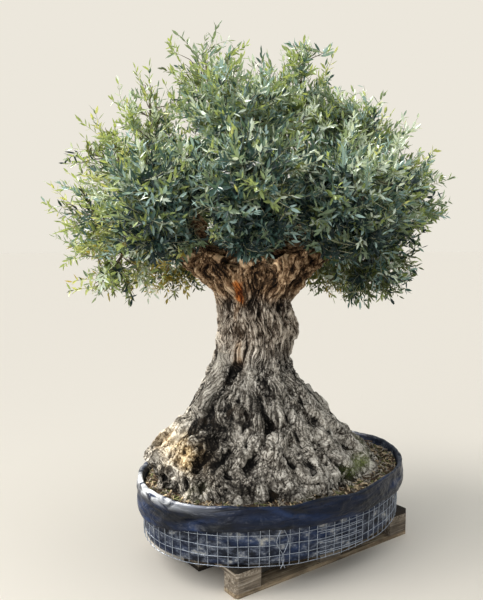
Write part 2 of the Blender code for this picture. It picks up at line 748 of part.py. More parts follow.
def grow_mass(row, seed, stem, obstacles):
    """The twigs and leaves of one mass, as (start, end) and (root, direction, face normal, length)."""
    rng = random.Random(seed)
    space = Space(row, MASSES)
    path = stem[0]
    forward = (path[-1] - path[1]).normalized()
    twigs, leaves = [], []
    for even in [*even_directions(row[6], rng.uniform(0, 2 * math.pi)), forward]:
        for attempt in range(4):
            direction = (even + random_vector(rng) * 0.18 * (attempt + 1)).normalized()
            foot = path_point(path, min(0.66 + 0.32 * direction.dot(forward), 0.97))[0]
            tip = space.centre + direction * space.reach(direction) * 0.985
            outward = (tip - foot).normalized()
            end = tip - outward * min(LEAF_LENGTH * 0.8, (tip - foot).length * 0.55)
            run = along(foot.lerp(end, 0.15), end)
            inside = all(space.holds(point) for point in run[len(run) // 3 :])
            if (end - foot).length > 0.05 and inside and clear_of_limbs(run, obstacles, LIMB_CLEARANCE):
                break
        else:
            continue
        twigs.append((foot, end))
        turn = rng.uniform(0, 2 * math.pi)
        end_leaf = leaf_lean(outward, turn, 0.0)
        fit_leaf(
            leaves, space, obstacles, lambda length: tip - end_leaf[0] * min(length, LEAF_LENGTH), *end_leaf
        )
        for number, share_on in enumerate(LEAVES_ON_TWIG):
            root = foot.lerp(end, share_on) - outward * 0.004
            spread = LEAF_SPREAD * rng.uniform(0.7, 1.2)
            side_leaf = leaf_lean(outward, turn + number * GOLDEN_ANGLE, spread)
            fit_leaf(leaves, space, obstacles, lambda length: root, *side_leaf)
    if row[5]:
        for even in even_directions(LEAVES_ON_CORE, rng.uniform(0, 2 * math.pi)):
            outward = (even + random_vector(rng) * 0.12).normalized()
            root = space.centre + outward * (space.reach(outward) * row[5] * CORE_LEAF_ROOT)
            leaf = leaf_lean(outward, rng.uniform(0, 2 * math.pi), LEAF_SPREAD * rng.uniform(0.45, 1.25))
            fit_leaf(leaves, space, obstacles, lambda length: root, *leaf)
    return twigs, leaves


def make_leaf(collection, leaf):
    """A blade with a flat back and a midrib, three sides round, drawn out and pressed flat."""
    root, tip, rib, left, right = leaf_corners(*leaf)
    middle = (rib + left + right) / 3
    bm = bmesh.new()
    bmesh.ops.create_uvsphere(bm, u_segments=3, v_segments=2, radius=1.0)
    for vertex in bm.verts:
        x, y, z = vertex.co
        if abs(z) > 0.5:
            vertex.co = tip if z > 0 else root
        else:
            vertex.co = middle + (rib - middle) * x + (left - right) / 2 * y / math.sin(math.radians(60))
    bmesh.ops.recalc_face_normals(bm, faces=bm.faces)
    return object_from_bmesh(bm, "leaf", collection, "foliage")


def make_twig(collection, start, end):
    """A three-sided, tapering rod."""
    bm = bmesh.new()
    length = (end - start).length
    bmesh.ops.create_cone(
        bm, cap_ends=True, segments=3, radius1=TWIG_RADIUS, radius2=TWIG_TIP_RADIUS, depth=length
    )
    turn = (end - start).to_track_quat("Z", "Y").to_matrix().to_4x4()
    bmesh.ops.transform(bm, matrix=Matrix.Translation((start + end) / 2) @ turn, verts=bm.verts)
    return object_from_bmesh(bm, "twig", collection, "foliage")


def make_core(collection, row, seed, obstacles):
    """The dense middle of a mass: a lumpy ball, drawn in until it is clear of the limbs."""
    rng = random.Random(seed)
    space = Space(row, MASSES)
    bm = bmesh.new()
    bmesh.ops.create_icosphere(bm, subdivisions=2, radius=1.0)
    for vertex in bm.verts:
        direction = vertex.co.normalized()
        most = space.reach(direction) * row[5] * rng.uniform(1 - CORE_LUMPS, 1 + CORE_LUMPS)
        far = 0.03
        while far < most and clear_of_limbs([space.centre + direction * far], obstacles, 0.035):
            far += 0.01
        vertex.co = space.centre + direction * min(far, most)
    return object_from_bmesh(bm, "core", collection, "foliage")


def make_mass(collection, row, seed, stems, limbs):
    """One mass: stem, twigs, leaves and any core, joined into one solid that keeps to its space."""
    others = [stem for name, stem in stems.items() if name != row[0]]
    obstacles = [*limbs.values(), *others]
    twigs, leaves = grow_mass(row, seed, stems[row[0]], obstacles)
    pieces = [make_twig(collection, start, end) for start, end in twigs]
    pieces += [make_leaf(collection, leaf) for leaf in leaves]
    if row[5]:
        pieces.append(make_core(collection, row, seed, obstacles))
    path, radii = stems[row[0]]
    mass = make_tube(row[0], collection, path, radii, "foliage", 1)
    apply_boolean(mass, pieces, "UNION")
    return mass


def main():
    clear_scene()
    tree = make_collection("olive_tree")
    make_pallet(tree)
    make_root_ball(tree)
    make_basket(tree)
    make_trunk("trunk", tree)
    limbs = limb_layout()
    make_limbs(tree, limbs)
    stems = stem_layout(limbs)
    for seed, row in enumerate(MASSES, 1):
        make_mass(tree, row, seed, stems, limbs)


main()
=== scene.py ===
"""Olive tree in a lined wire basket on a pallet: bark, twigs, leaves, sheet, wire and wood, built
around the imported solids. Metres, +Z up, in the frame of the solids."""

import math
import random

import bmesh
import bpy
import numpy as np
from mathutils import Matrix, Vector


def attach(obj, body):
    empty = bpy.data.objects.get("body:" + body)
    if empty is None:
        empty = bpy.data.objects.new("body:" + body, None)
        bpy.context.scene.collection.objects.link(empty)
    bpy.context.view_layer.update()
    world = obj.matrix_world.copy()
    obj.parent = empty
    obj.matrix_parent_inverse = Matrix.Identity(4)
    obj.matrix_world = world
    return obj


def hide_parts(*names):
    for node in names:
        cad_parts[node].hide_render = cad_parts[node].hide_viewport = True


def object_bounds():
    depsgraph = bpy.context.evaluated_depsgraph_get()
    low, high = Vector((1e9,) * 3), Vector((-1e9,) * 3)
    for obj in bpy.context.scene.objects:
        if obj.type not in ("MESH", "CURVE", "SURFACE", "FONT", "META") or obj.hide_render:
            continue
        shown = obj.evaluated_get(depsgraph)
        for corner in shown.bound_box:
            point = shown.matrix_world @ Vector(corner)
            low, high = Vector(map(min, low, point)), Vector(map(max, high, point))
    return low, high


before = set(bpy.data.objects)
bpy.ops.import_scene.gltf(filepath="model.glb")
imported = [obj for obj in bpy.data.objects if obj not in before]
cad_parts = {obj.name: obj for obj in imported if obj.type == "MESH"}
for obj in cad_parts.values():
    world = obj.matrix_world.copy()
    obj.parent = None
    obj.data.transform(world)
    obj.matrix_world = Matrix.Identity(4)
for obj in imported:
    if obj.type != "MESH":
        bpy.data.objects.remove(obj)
cad_low, cad_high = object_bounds()

# --- Values shared with the solids ---

FRONT_TURN = math.radians(36.0)
COS, SIN = math.cos(FRONT_TURN), math.sin(FRONT_TURN)
PALLET_HEIGHT = 0.144
BALL_CENTRE = (-0.035, 0.015)
BALL_HALF_LENGTH, BALL_HALF_WIDTH = 0.788, 0.598
BALL_FOOT_SHARE = 0.985
HEEL = PALLET_HEIGHT + 0.03
SOIL_LEVEL = 0.400
LINER_TOP = 0.450
TRUNK_SECTIONS = (
    (0.400, -0.060, 0.00, 0.655, 0.495),
    (0.470, -0.100, 0.00, 0.635, 0.480),
    (0.550, -0.150, 0.01, 0.590, 0.455),
    (0.620, -0.140, 0.02, 0.510, 0.420),
    (0.700, -0.138, 0.03, 0.425, 0.378),
    (0.800, -0.147, 0.04, 0.343, 0.322),
    (0.920, -0.163, 0.05, 0.272, 0.258),
    (1.030, -0.168, 0.05, 0.232, 0.226),
    (1.200, -0.148, 0.05, 0.232, 0.224),
    (1.330, -0.160, 0.05, 0.228, 0.220),
    (1.420, -0.158, 0.05, 0.256, 0.240),
    (1.480, -0.152, 0.05, 0.286, 0.268),
    (1.530, -0.145, 0.05, 0.262, 0.245),
    (1.580, -0.140, 0.05, 0.120, 0.110),
)
BURLS = (
    (5, 1.165, 0.085, 0.034),
    (168, 1.12, 0.075, 0.008),
    (262, 1.30, 0.080, 0.024),
    (250, 0.78, 0.100, 0.030),
    (186, 0.54, 0.110, 0.060),
    (300, 0.52, 0.090, 0.035),
)
LIMBS = (
    ("bough_right", (-0.06, 0.02, 1.40), (0.12, 0.01, 1.56), (0.35, -0.02, 1.74), 0.120, 0.042),
    ("bough_left", (-0.24, 0.03, 1.40), (-0.43, 0.02, 1.55), (-0.70, -0.02, 1.68), 0.115, 0.040),
    ("bough_front", (-0.15, -0.05, 1.39), (-0.16, -0.24, 1.55), (-0.19, -0.42, 1.72), 0.095, 0.038),
    ("bough_front_left", (-0.22, -0.04, 1.40), (-0.34, -0.19, 1.56), (-0.47, -0.35, 1.73), 0.09, 0.036),
    ("bough_front_right", (-0.08, -0.04, 1.40), (0.03, -0.20, 1.56), (0.15, -0.36, 1.73), 0.09, 0.036),
    ("bough_back", (-0.15, 0.14, 1.40), (-0.17, 0.29, 1.55), (-0.20, 0.46, 1.76), 0.095, 0.038),
    ("bough_back_left", (-0.22, 0.13, 1.40), (-0.36, 0.24, 1.55), (-0.51, 0.37, 1.72), 0.09, 0.038),
    ("bough_back_right", (-0.08, 0.13, 1.40), (0.05, 0.25, 1.55), (0.19, 0.38, 1.72), 0.09, 0.038),
    ("leader_left", (-0.20, 0.04, 1.42), (-0.28, 0.03, 1.74), (-0.33, 0.02, 2.08), 0.090, 0.034),
    ("leader_right", (-0.11, 0.06, 1.42), (-0.03, 0.08, 1.76), (0.02, 0.08, 2.16), 0.075, 0.028),
    ("bough_left_upper", (-0.24, 0.05, 1.44), (-0.46, 0.04, 1.72), (-0.66, 0.05, 2.00), 0.072, 0.030),
    ("bough_right_upper", (-0.06, 0.05, 1.44), (0.09, 0.03, 1.70), (0.22, 0.02, 1.94), 0.075, 0.032),
)
LIMB_POINTS, LIMB_WANDER = 6, 0.016
# Masses: name, carrying limb, centre (right, away, up), half width, half height, density of twigs.
MASSES = (
    ("mass_left", "bough_left", (-1.01, 0.02, 1.79), 0.295, 0.260, 0.22),
    ("mass_left_lower", "bough_left", (-0.88, -0.10, 1.53), 0.300, 0.215, 0.19),
    ("mass_left_upper", "bough_left_upper", (-0.91, 0.05, 2.09), 0.290, 0.260, 0.16),
    ("mass_upper_left", "bough_left_upper", (-0.71, 0.05, 2.34), 0.270, 0.250, 0.16),
    ("mass_top_left", "leader_left", (-0.40, 0.00, 2.47), 0.285, 0.285, 0.27),
    ("mass_crown_front", "leader_left", (-0.23, -0.32, 2.22), 0.340, 0.280, 0.52),
    ("mass_crown_back", "leader_left", (-0.24, 0.40, 2.26), 0.340, 0.290, 0.15),
    ("mass_top_right", "leader_right", (-0.08, 0.04, 2.45), 0.230, 0.240, 0.34),
    ("mass_sprig", "leader_right", (0.11, 0.08, 2.57), 0.210, 0.240, 0.26),
    ("mass_right_upper", "bough_right_upper", (0.36, -0.02, 2.15), 0.325, 0.270, 0.72),
    ("mass_right", "bough_right", (0.57, 0.00, 1.90), 0.290, 0.300, 0.78),
    ("mass_right_lower", "bough_right", (0.43, -0.05, 1.57), 0.320, 0.250, 0.62),
    ("mass_front_left", "bough_front_left", (-0.60, -0.50, 1.85), 0.320, 0.290, 0.92),
    ("mass_front", "bough_front", (-0.19, -0.62, 1.87), 0.310, 0.280, 1.15),
    ("mass_front_right", "bough_front_right", (0.26, -0.50, 1.86), 0.320, 0.290, 1.15),
    ("mass_back_left", "bough_back_left", (-0.62, 0.52, 2.00), 0.360, 0.330, 0.18),
    ("mass_back_left_lower", "bough_back_left", (-0.66, 0.46, 1.52), 0.300, 0.210, 0.27),
    ("mass_back", "bough_back", (-0.19, 0.68, 1.92), 0.340, 0.330, 0.58),
    ("mass_back_right", "bough_back_right", (0.32, 0.50, 2.00), 0.360, 0.330, 0.52),
    ("mass_back_right_lower", "bough_back_right", (0.34, 0.46, 1.54), 0.300, 0.220, 0.36),
)
MASS_GAP = 0.004
STEM_SHARES = {1: (0.0, 0.80), 2: (0.52, 0.44), 3: (0.56, 0.36)}
STEM_TIP_SHARE = 0.45
GOLDEN_ANGLE = math.pi * (3.0 - math.sqrt(5.0))

# --- Values of the looks alone ---

CAMERA_PLACE, CAMERA_PITCH, LENS = (-0.227, -3.57, 1.65), math.radians(4.9), 39.0
SUNLIT_END = math.radians(176)  # bearing of the end of the ball where the sheet's rim has a painted sun glare
BARK_VOXEL, BARK_DEPTH = 0.0070, 0.019  # mesh size, and how far the skin starts under the solid's
GRAIN_ROUND, GRAIN_STRETCH = 0.27, 0.22
LIGHT_THROUGH_LEAF = 0.30
# Roots that run down the flare, in order round the trunk: bearing at the foot and at the top (0 is
# right, 90 away), the height they rise out of the trunk at, how far they stand out.
ROOTS = (
    (6, 0, 0.86, 0.042),
    (28, 24, 0.98, 0.046),
    (51, 46, 0.84, 0.040),
    (74, 69, 1.00, 0.050),
    (97, 93, 0.88, 0.044),
    (120, 117, 0.96, 0.048),
    (143, 141, 0.82, 0.040),
    (166, 167, 0.94, 0.046),
    (189, 192, 1.00, 0.062),
    (211, 214, 0.92, 0.058),
    (233, 236, 0.98, 0.054),
    (253, 255, 1.04, 0.046),
    (271, 272, 0.96, 0.044),
    (289, 288, 0.84, 0.058),
    (308, 304, 1.02, 0.048),
    (327, 321, 0.92, 0.050),
    (347, 340, 1.00, 0.052),
)
ROOT_SWAY, SWAY_STEP, SWAY_RATE = 6.5, 0.9, 10.0  # degrees off its line, radians a root and a metre
ROOT_SWELL, SWELL_STEP, SWELL_RATE = 0.22, 2.4, 13.0  # share of its rise, radians a root and a metre
STRAIGHTENING = 0.6  # how much less a root sways at its top than at its foot
ROOT_END, ROOT_FADE = 0.08, 0.26  # how far past its start a root ends, and the height it sinks in over
ROOT_TRACE = 0.16  # what still shows of it above there
ROOT_VALLEY = 0.45  # how far the skin sinks between roots, as a share of their rise


def at(right, away, up):
    """A place given as seen from the front, in the pallet's frame."""
    return Vector((right * COS + away * SIN, away * COS - right * SIN, up))


def from_front(points):
    """Right, away and up of each point of an (n, 3) array. Up is a view of its last column."""
    x, y, up = points.T
    return x * COS - y * SIN, x * SIN + y * COS, up


# --- Noise in arrays ---

HASH_AXES, HASH_SEED, WORD = (0x8DA6B343, 0xD8163841, 0xCB1AB31F), 0x9E3779B1, 0xFFFFFFFF
HASH_ROUNDS = ((13, 0x5BD1E995), (15, 0x27D4EB2D), (14, 1))  # shift and factor of each
OCTAVE_STEP = 2.03  # how much finer each octave is than the one before
FAR_OFF = 9.0  # more than any distance within a cell


def lattice(cell, seed):
    """An even random number from 0 to 1 for each integer cell of an (n, 3) array."""
    c = cell.astype(np.int64)
    h = (sum(c[..., axis] * factor for axis, factor in enumerate(HASH_AXES)) + seed * HASH_SEED) & WORD
    for shift, factor in HASH_ROUNDS:
        h = ((h ^ (h >> shift)) * factor) & WORD
    return h / (WORD + 1)


def value_noise(points, seed):
    """Smooth noise from 0 to 1 at each point of an (n, 3) array, with cells one unit wide."""
    base = np.floor(points)
    f = points - base
    f = f * f * f * (f * (f * 6 - 15) + 10)
    total = np.zeros(len(points))
    for corner in np.ndindex(2, 2, 2):
        weight = np.ones(len(points))
        for axis in range(3):
            weight *= f[:, axis] if corner[axis] else 1 - f[:, axis]
        total += weight * lattice(base + np.array(corner), seed)
    return total


def fractal(points, octaves, seed, gain=0.5):
    """Noise from 0 to 1 in several octaves, each weaker than the last by the gain."""
    total, size, most = np.zeros(len(points)), 1.0, 0.0
    for k in range(octaves):
        total += size * value_noise(points * OCTAVE_STEP**k, seed + k)
        most += size
        size *= gain
    return total / most


def veins(points, octaves, seed, sharpness):
    """Thin lines of 1 on 0, where the noise crosses its middle."""
    return np.clip(1 - np.abs(fractal(points, octaves, seed) * 2 - 1) * sharpness, 0, 1)


def pits(points, size, seed):
    """Round spots of 1 in their middles on 0: one a cell, scattered."""
    base = np.floor(points)
    near = np.full(len(points), FAR_OFF)
    for corner in np.ndindex(3, 3, 3):
        cell = base + np.array(corner) - 1
        spot = cell + np.stack([lattice(cell, seed + k) for k in (11, 23, 37)], axis=1)
        near = np.minimum(near, np.linalg.norm(points - spot, axis=1))
    return np.clip(1 - near / size, 0, 1)


def step_up(values, low, high):
    """A smooth step from 0 at low to 1 at high."""
    t = np.clip((values - low) / (high - low), 0, 1)
    return t * t * (3 - 2 * t)


def step_down(values, low, high):
    """A smooth step from 1 at low to 0 at high."""
    return step_up(-values, -high, -low)


def climb(values, start, length):
    """A straight step from 0 at start to 1 a length further on, or further down where it is below 0."""
    return np.clip((values - start) / length, 0, 1)


def patch_at(right, up, middle, width, level, height):
    """A soft round patch seen from the front: 1 in its middle."""
    return np.exp(-(((right - middle) / width) ** 2) - ((up - level) / height) ** 2)


# --- Mesh helpers ---


def show(name, data):
    """An object in the scene that holds this data."""
    obj = bpy.data.objects.new(name, data)
    bpy.context.scene.collection.objects.link(obj)
    return obj


def mesh_object(name, verts, faces, materials, indices=None, smooth=True):
    """An object from an (n, 3) array of points and an (m, 3) or (m, 4) array of faces."""
    verts, faces = np.asarray(verts, np.float32), np.asarray(faces, np.int32)
    mesh = bpy.data.meshes.new(name)
    mesh.vertices.add(len(verts))
    mesh.vertices.foreach_set("co", verts.ravel())
    mesh.loops.add(faces.size)
    mesh.loops.foreach_set("vertex_index", faces.ravel())
    mesh.polygons.add(len(faces))
    mesh.polygons.foreach_set("loop_start", np.arange(0, faces.size, faces.shape[1], dtype=np.int32))
    if indices is not None:
        mesh.polygons.foreach_set("material_index", np.asarray(indices, np.int32))
    mesh.polygons.foreach_set("use_smooth", np.full(len(faces), smooth))
    mesh.update(calc_edges=True)
    mesh.validate()
    for each in materials:
        mesh.materials.append(each)
    return show(name, mesh)


class Parts:
    """Points, faces and material indices of several meshes, gathered into one."""

    def __init__(self):
        self.verts, self.faces, self.kinds, self.count = [], [], [], 0

    def add(self, verts, faces, kinds=0):
        self.verts.append(verts)
        self.faces.append(faces + self.count)
        self.kinds.append(np.broadcast_to(kinds, len(faces)))
        self.count += len(verts)

    def build(self, name, materials, smooth=True):
        verts, faces, kinds = (np.concatenate(each) for each in (self.verts, self.faces, self.kinds))
        return mesh_object(name, verts, faces, materials, kinds, smooth)


def ring_faces(rings, columns):
    """Quads between closed rings of points that lie one after another."""
    start, k = (np.arange(rings - 1) * columns)[:, None], np.arange(columns)
    a, b = start + k, start + (k + 1) % columns
    return np.stack([a, b, b + columns, a + columns], axis=-1).reshape(-1, 4)


def face_outward(mesh, fill=False):
    """Turns the faces to one side, after filling the open ends if asked."""
    bm = bmesh.new()
    bm.from_mesh(mesh)
    if fill:
        bmesh.ops.holes_fill(bm, edges=[e for e in bm.edges if len(e.link_faces) < 2], sides=0)
    bmesh.ops.recalc_face_normals(bm, faces=bm.faces)
    bm.to_mesh(mesh)
    bm.free()


def read_vectors(items, key):
    out = np.empty(len(items) * 3, np.float32)
    items.foreach_get(key, out)
    return out.reshape(-1, 3).astype(float)


def move_points(mesh, points):
    mesh.vertices.foreach_set("co", points.astype(np.float32).ravel())
    mesh.update()


def store(mesh, name, values):
    """Keeps one number or one vector a point, for a material to read."""
    values = np.asarray(values, np.float32)
    kind, key = ("FLOAT", "value") if values.ndim == 1 else ("FLOAT_VECTOR", "vector")
    mesh.attributes.new(name, kind, "POINT").data.foreach_set(key, values.ravel())


def unit(vectors):
    return vectors / np.maximum(np.linalg.norm(vectors, axis=-1, keepdims=True), 1e-9)


def across_of(ahead, least_of):
    """Two directions square to each one ahead, the first off the axis that least_of has least of."""
    least = np.eye(3)[np.argmin(np.abs(least_of), axis=-1)]
    side = unit(np.cross(ahead, least if least.ndim == ahead.ndim else least[:, None, :]))
    return side, np.cross(ahead, side)


def tubes(paths, radii, sides):
    """Tapering tubes of equal point counts: paths (t, p, 3), radii (t, p). Returns points and quads."""
    count, steps = paths.shape[:2]
    ahead = np.empty_like(paths)
    ahead[:, 1:-1] = paths[:, 2:] - paths[:, :-2]
    ahead[:, 0] = paths[:, 1] - paths[:, 0]
    ahead[:, -1] = paths[:, -1] - paths[:, -2]
    side, other = across_of(unit(ahead), unit(paths[:, -1] - paths[:, 0]))
    turn = 2 * np.pi * np.arange(sides) / sides
    ring = side[:, :, None] * np.cos(turn)[:, None] + other[:, :, None] * np.sin(turn)[:, None]
    verts = paths[:, :, None] + ring * radii[:, :, None, None]
    first = (np.arange(count)[:, None] * steps + np.arange(steps - 1)[None]).ravel()[:, None] * sides
    k = np.arange(sides)
    low, low_next = first + k, first + (k + 1) % sides
    faces = np.stack([low, low_next, low_next + sides, low + sides], axis=-1).reshape(-1, 4)
    return verts.reshape(-1, 3), faces


def capped_tube(bm, path, radii, sides):
    """Adds one closed tube to a bmesh."""
    verts, faces = tubes(np.array([path], float), np.array([radii], float), sides)
    made = [bm.verts.new(v) for v in verts]
    for face in faces:
        bm.faces.new([made[k] for k in face])
    bm.faces.new(made[:sides][::-1])
    bm.faces.new(made[-sides:])


# --- Materials ---


def srgb(*levels):
    """A colour in linear light, from levels of 0 to 255."""
    return tuple(c / 255 / 12.92 if c <= 10 else ((c / 255 + 0.055) / 1.055) ** 2.4 for c in levels)


class Nodes:
    """A material's node tree, with short calls for the nodes that the materials here use."""

    def __init__(self, name):
        self.material = bpy.data.materials.new(name)
        self.material.use_nodes = True
        self.tree = self.material.node_tree
        self.shader = self.tree.nodes["Principled BSDF"]
        self.output = self.tree.nodes["Material Output"]

    def put(self, value, socket):
        """Links an output to a socket, or sets the socket to a number, a vector or a colour."""
        if isinstance(value, bpy.types.NodeSocket):
            self.tree.links.new(value, socket)
        else:
            socket.default_value = (*value, 1.0) if socket.type == "RGBA" else value

    def add(self, kind, inputs, **settings):
        node = self.tree.nodes.new(kind)
        for key, value in settings.items():
            setattr(node, key, value)
        for key, value in inputs.items():
            self.put(value, node.inputs[key])
        return node

    def place(self, scale=(1, 1, 1)):
        """The point's own place in the object, stretched."""
        here = self.add("ShaderNodeTexCoord", {}).outputs["Object"]
        return self.add("ShaderNodeMapping", {"Scale": scale, "Vector": here}).outputs["Vector"]

    def noise(self, place, scale, detail, roughness, distortion=0.0):
        inputs = {"Vector": place, "Scale": scale, "Detail": detail, "Roughness": roughness}
        return self.add("ShaderNodeTexNoise", inputs | {"Distortion": distortion}).outputs["Fac"]

    def voronoi(self, place, scale, feature="F1"):
        inputs = {"Vector": place, "Scale": scale}
        return self.add("ShaderNodeTexVoronoi", inputs, feature=feature).outputs["Distance"]

    def attribute(self, name, output="Fac"):
        return self.add("ShaderNodeAttribute", {}, attribute_name=name).outputs[output]

    def ramp(self, value, *stops):
        """Colours by value: stops are (position, red, green, blue)."""
        node = self.add("ShaderNodeValToRGB", {"Fac": value})
        elements = node.color_ramp.elements
        while len(elements) < len(stops):
            elements.new(0.5)
        for element, (position, *colour) in zip(elements, stops):
            element.position, element.color = position, (*srgb(*colour), 1.0)
        return node.outputs["Color"]

    def span(self, value, low, high, to_low=0.0, to_high=1.0):
        inputs = {"Value": value, "From Min": low, "From Max": high, "To Min": to_low, "To Max": to_high}
        return self.add("ShaderNodeMapRange", inputs, clamp=True).outputs["Result"]

    def math(self, operation, a, b=0.5):
        return self.add("ShaderNodeMath", {0: a, 1: b}, operation=operation).outputs["Value"]

    def plus(self, a, b):
        return self.math("ADD", a, b)

    def minus(self, a, b):
        return self.math("SUBTRACT", a, b)

    def times(self, a, b):
        return self.math("MULTIPLY", a, b)

    def crease(self, noise):
        """0 along the lines where the noise crosses its middle."""
        return self.math("ABSOLUTE", self.minus(noise, 0.5))

    def mix(self, share, a, b):
        node = self.add("ShaderNodeMix", {"Factor": share}, data_type="RGBA")
        for value, socket in zip((a, b), [s for s in node.inputs if s.type == "RGBA"]):
            self.put(value, socket)
        return next(s for s in node.outputs if s.type == "RGBA")

    def finish(self, colour, roughness, bump=None, strength=0.5, distance=0.01, **sockets):
        inputs = self.shader.inputs
        self.put(colour, inputs["Base Color"])
        self.put(roughness, inputs["Roughness"])
        if bump is not None:
            node = self.add("ShaderNodeBump", {"Strength": strength, "Distance": distance, "Height": bump})
            self.put(node.outputs["Normal"], inputs["Normal"])
        for name, value in sockets.items():
            inputs[name.replace("_", " ")].default_value = value
        return self.material


def bark_material():
    """Grey bark toned by painted shade and light, brown by the warm attribute and orange in the scar, with
    straw, painted sunlight, moss and smooth roots.
    """
    n = Nodes("bark_relief")
    names = ("painted_relief_shade", "warm", "moss", "straw_and_sun", "root", "flare")
    painted_relief_shade, warm, moss, straw_and_sun, smooth, flare = (n.attribute(name) for name in names)
    grain, place = n.attribute("grain", "Vector"), n.place()
    strand = n.noise(grain, 105.0, 6.0, 0.62)
    crack = n.span(n.voronoi(grain, 72.0, "DISTANCE_TO_EDGE"), 0.0, 0.13)
    fine = n.noise(place, 95.0, 8.0, 0.74, 0.4)
    speck = n.noise(place, 230.0, 4.0, 0.7)
    patch = n.noise(place, 8.0, 5.0, 0.6)
    on_neck = n.plus(n.times(strand, 0.62), n.times(fine, 0.38))
    on_flare = n.plus(n.times(strand, 0.38), n.times(fine, 0.62))
    height = n.plus(on_neck, n.times(n.minus(on_flare, on_neck), flare))
    pore = n.span(n.voronoi(n.place((1.0, 1.0, 0.7)), 62.0), 0.30, 0.14)
    pore = n.times(pore, n.times(flare, n.span(patch, 0.42, 0.56)))
    sharp = n.times(n.span(height, 0.40, 0.60), n.span(crack, 0.0, 1.0, 0.35, 1.0))
    sharp = n.minus(sharp, n.times(pore, 0.7))
    # The tone: painted shade and light kept on the bark's points, with painted shade in the fine cracks and
    # pores.
    tone = n.plus(n.times(painted_relief_shade, 0.54), n.times(sharp, 0.50))
    greys = ((0.18, 10, 9, 8), (0.34, 48, 44, 40), (0.47, 118, 113, 105), (0.62, 186, 180, 170))
    grey = n.ramp(tone, *greys, (0.84, 236, 231, 221))
    brown = n.ramp(tone, (0.15, 18, 12, 8), (0.31, 70, 50, 33), (0.50, 146, 115, 85), (0.78, 222, 192, 155))
    orange = n.ramp(tone, (0.22, 72, 34, 15), (0.45, 198, 112, 50), (0.75, 240, 180, 112))
    root = n.ramp(tone, (0.22, 36, 32, 28), (0.46, 128, 121, 110), (0.74, 204, 197, 184))
    yellow = n.ramp(tone, (0.16, 46, 35, 21), (0.38, 150, 123, 82), (0.66, 232, 209, 162))
    green = n.ramp(speck, (0.3, 54, 66, 26), (0.7, 130, 146, 62))
    colour = n.mix(n.span(warm, 0.0, 1.0), grey, brown)
    colour = n.mix(n.span(patch, 0.54, 0.72, 0.0, 0.35), colour, n.mix(0.5, colour, srgb(112, 92, 70)))
    colour = n.mix(n.span(warm, 1.2, 1.9), colour, orange)
    colour = n.mix(n.times(smooth, 0.6), colour, root)
    # Straw colour, and painted sunlight on the left foot.
    colour = n.mix(straw_and_sun, colour, yellow)
    colour = n.mix(n.times(moss, n.span(speck, 0.38, 0.58)), colour, green)
    bump = n.plus(n.plus(n.times(height, 1.2), n.times(crack, 0.35)), n.times(speck, 0.15))
    return n.finish(colour, 0.9, bump, 1.0, 0.010, Specular_IOR_Level=0.2)


def leaf_material(name, colour, glow):
    """A thin leaf: a waxy face, and light that comes through it from behind."""
    n = Nodes(name)
    n.finish(srgb(*colour), 0.45, Specular_IOR_Level=0.45)
    through = n.add("ShaderNodeBsdfTranslucent", {"Color": srgb(*glow)}).outputs["BSDF"]
    both = n.add("ShaderNodeMixShader", {"Fac": LIGHT_THROUGH_LEAF, 1: n.shader.outputs["BSDF"], 2: through})
    n.put(both.outputs["Shader"], n.output.inputs["Surface"])
    return n.material


def twig_material(name, low, high):
    n = Nodes(name)
    fine = n.noise(n.place(), 60.0, 4.0, 0.6)
    return n.finish(n.ramp(fine, (0.35, *low), (0.65, *high)), 0.8, fine, 0.4, 0.002)


def liner_material():
    """Dark blue film in long folds and crumples, dusty by one attribute and whitened by a painted sun glare
    by another.
    """
    n = Nodes("liner_sheet")
    long_fold = n.noise(n.place((1.0, 1.0, 3.4)), 4.0, 3.0, 0.5, 0.8)
    crumple = n.noise(n.place((1.0, 1.0, 1.8)), 11.0, 3.0, 0.5, 0.9)
    fine = n.noise(n.place(), 70.0, 5.0, 0.6)
    dust = n.noise(n.place((1, 1, 1.6)), 15.0, 8.0, 0.72)
    dusty = n.attribute("dust")
    colour = n.ramp(long_fold, (0.34, 4, 9, 19), (0.52, 9, 19, 39), (0.72, 26, 44, 77))
    grime = n.ramp(dust, (0.40, 36, 43, 62), (0.55, 92, 100, 116), (0.70, 176, 174, 166))
    colour = n.mix(n.times(dusty, n.span(dust, 0.44, 0.62)), colour, grime)
    # Painted sun glare: whitish patches on the collar's rim at the sunlit end.
    sun_glare = n.times(n.attribute("sun_glare"), n.span(crumple, 0.40, 0.56))
    colour = n.mix(sun_glare, colour, srgb(214, 217, 222))
    rough = n.plus(n.times(dusty, 0.25), n.span(fine, 0.3, 0.7, 0.26, 0.40))
    bump = n.plus(n.times(n.crease(long_fold), 1.5), n.times(n.crease(crumple), 0.8))
    bump = n.plus(bump, n.times(fine, 0.03))
    return n.finish(colour, rough, bump, 0.45, 0.035, Specular_IOR_Level=0.22)


def wire_material():
    n = Nodes("galvanised_wire")
    fine = n.noise(n.place(), 140.0, 4.0, 0.6)
    colour = n.ramp(fine, (0.35, 126, 135, 150), (0.65, 186, 194, 206))
    return n.finish(colour, n.span(fine, 0.3, 0.7, 0.28, 0.5), fine, 0.15, 0.0005, Metallic=0.75)


def soil_material():
    n = Nodes("soil_crumbs")
    lumps = n.noise(n.place(), 70.0, 8.0, 0.7)
    patch = n.noise(n.place(), 9.0, 4.0, 0.6)
    colour = n.ramp(lumps, (0.30, 22, 17, 12), (0.50, 60, 48, 36), (0.72, 120, 102, 78))
    colour = n.mix(n.span(patch, 0.55, 0.72, 0.0, 0.5), colour, srgb(92, 84, 44))
    return n.finish(colour, 0.95, lumps, 1.0, 0.012, Specular_IOR_Level=0.2)


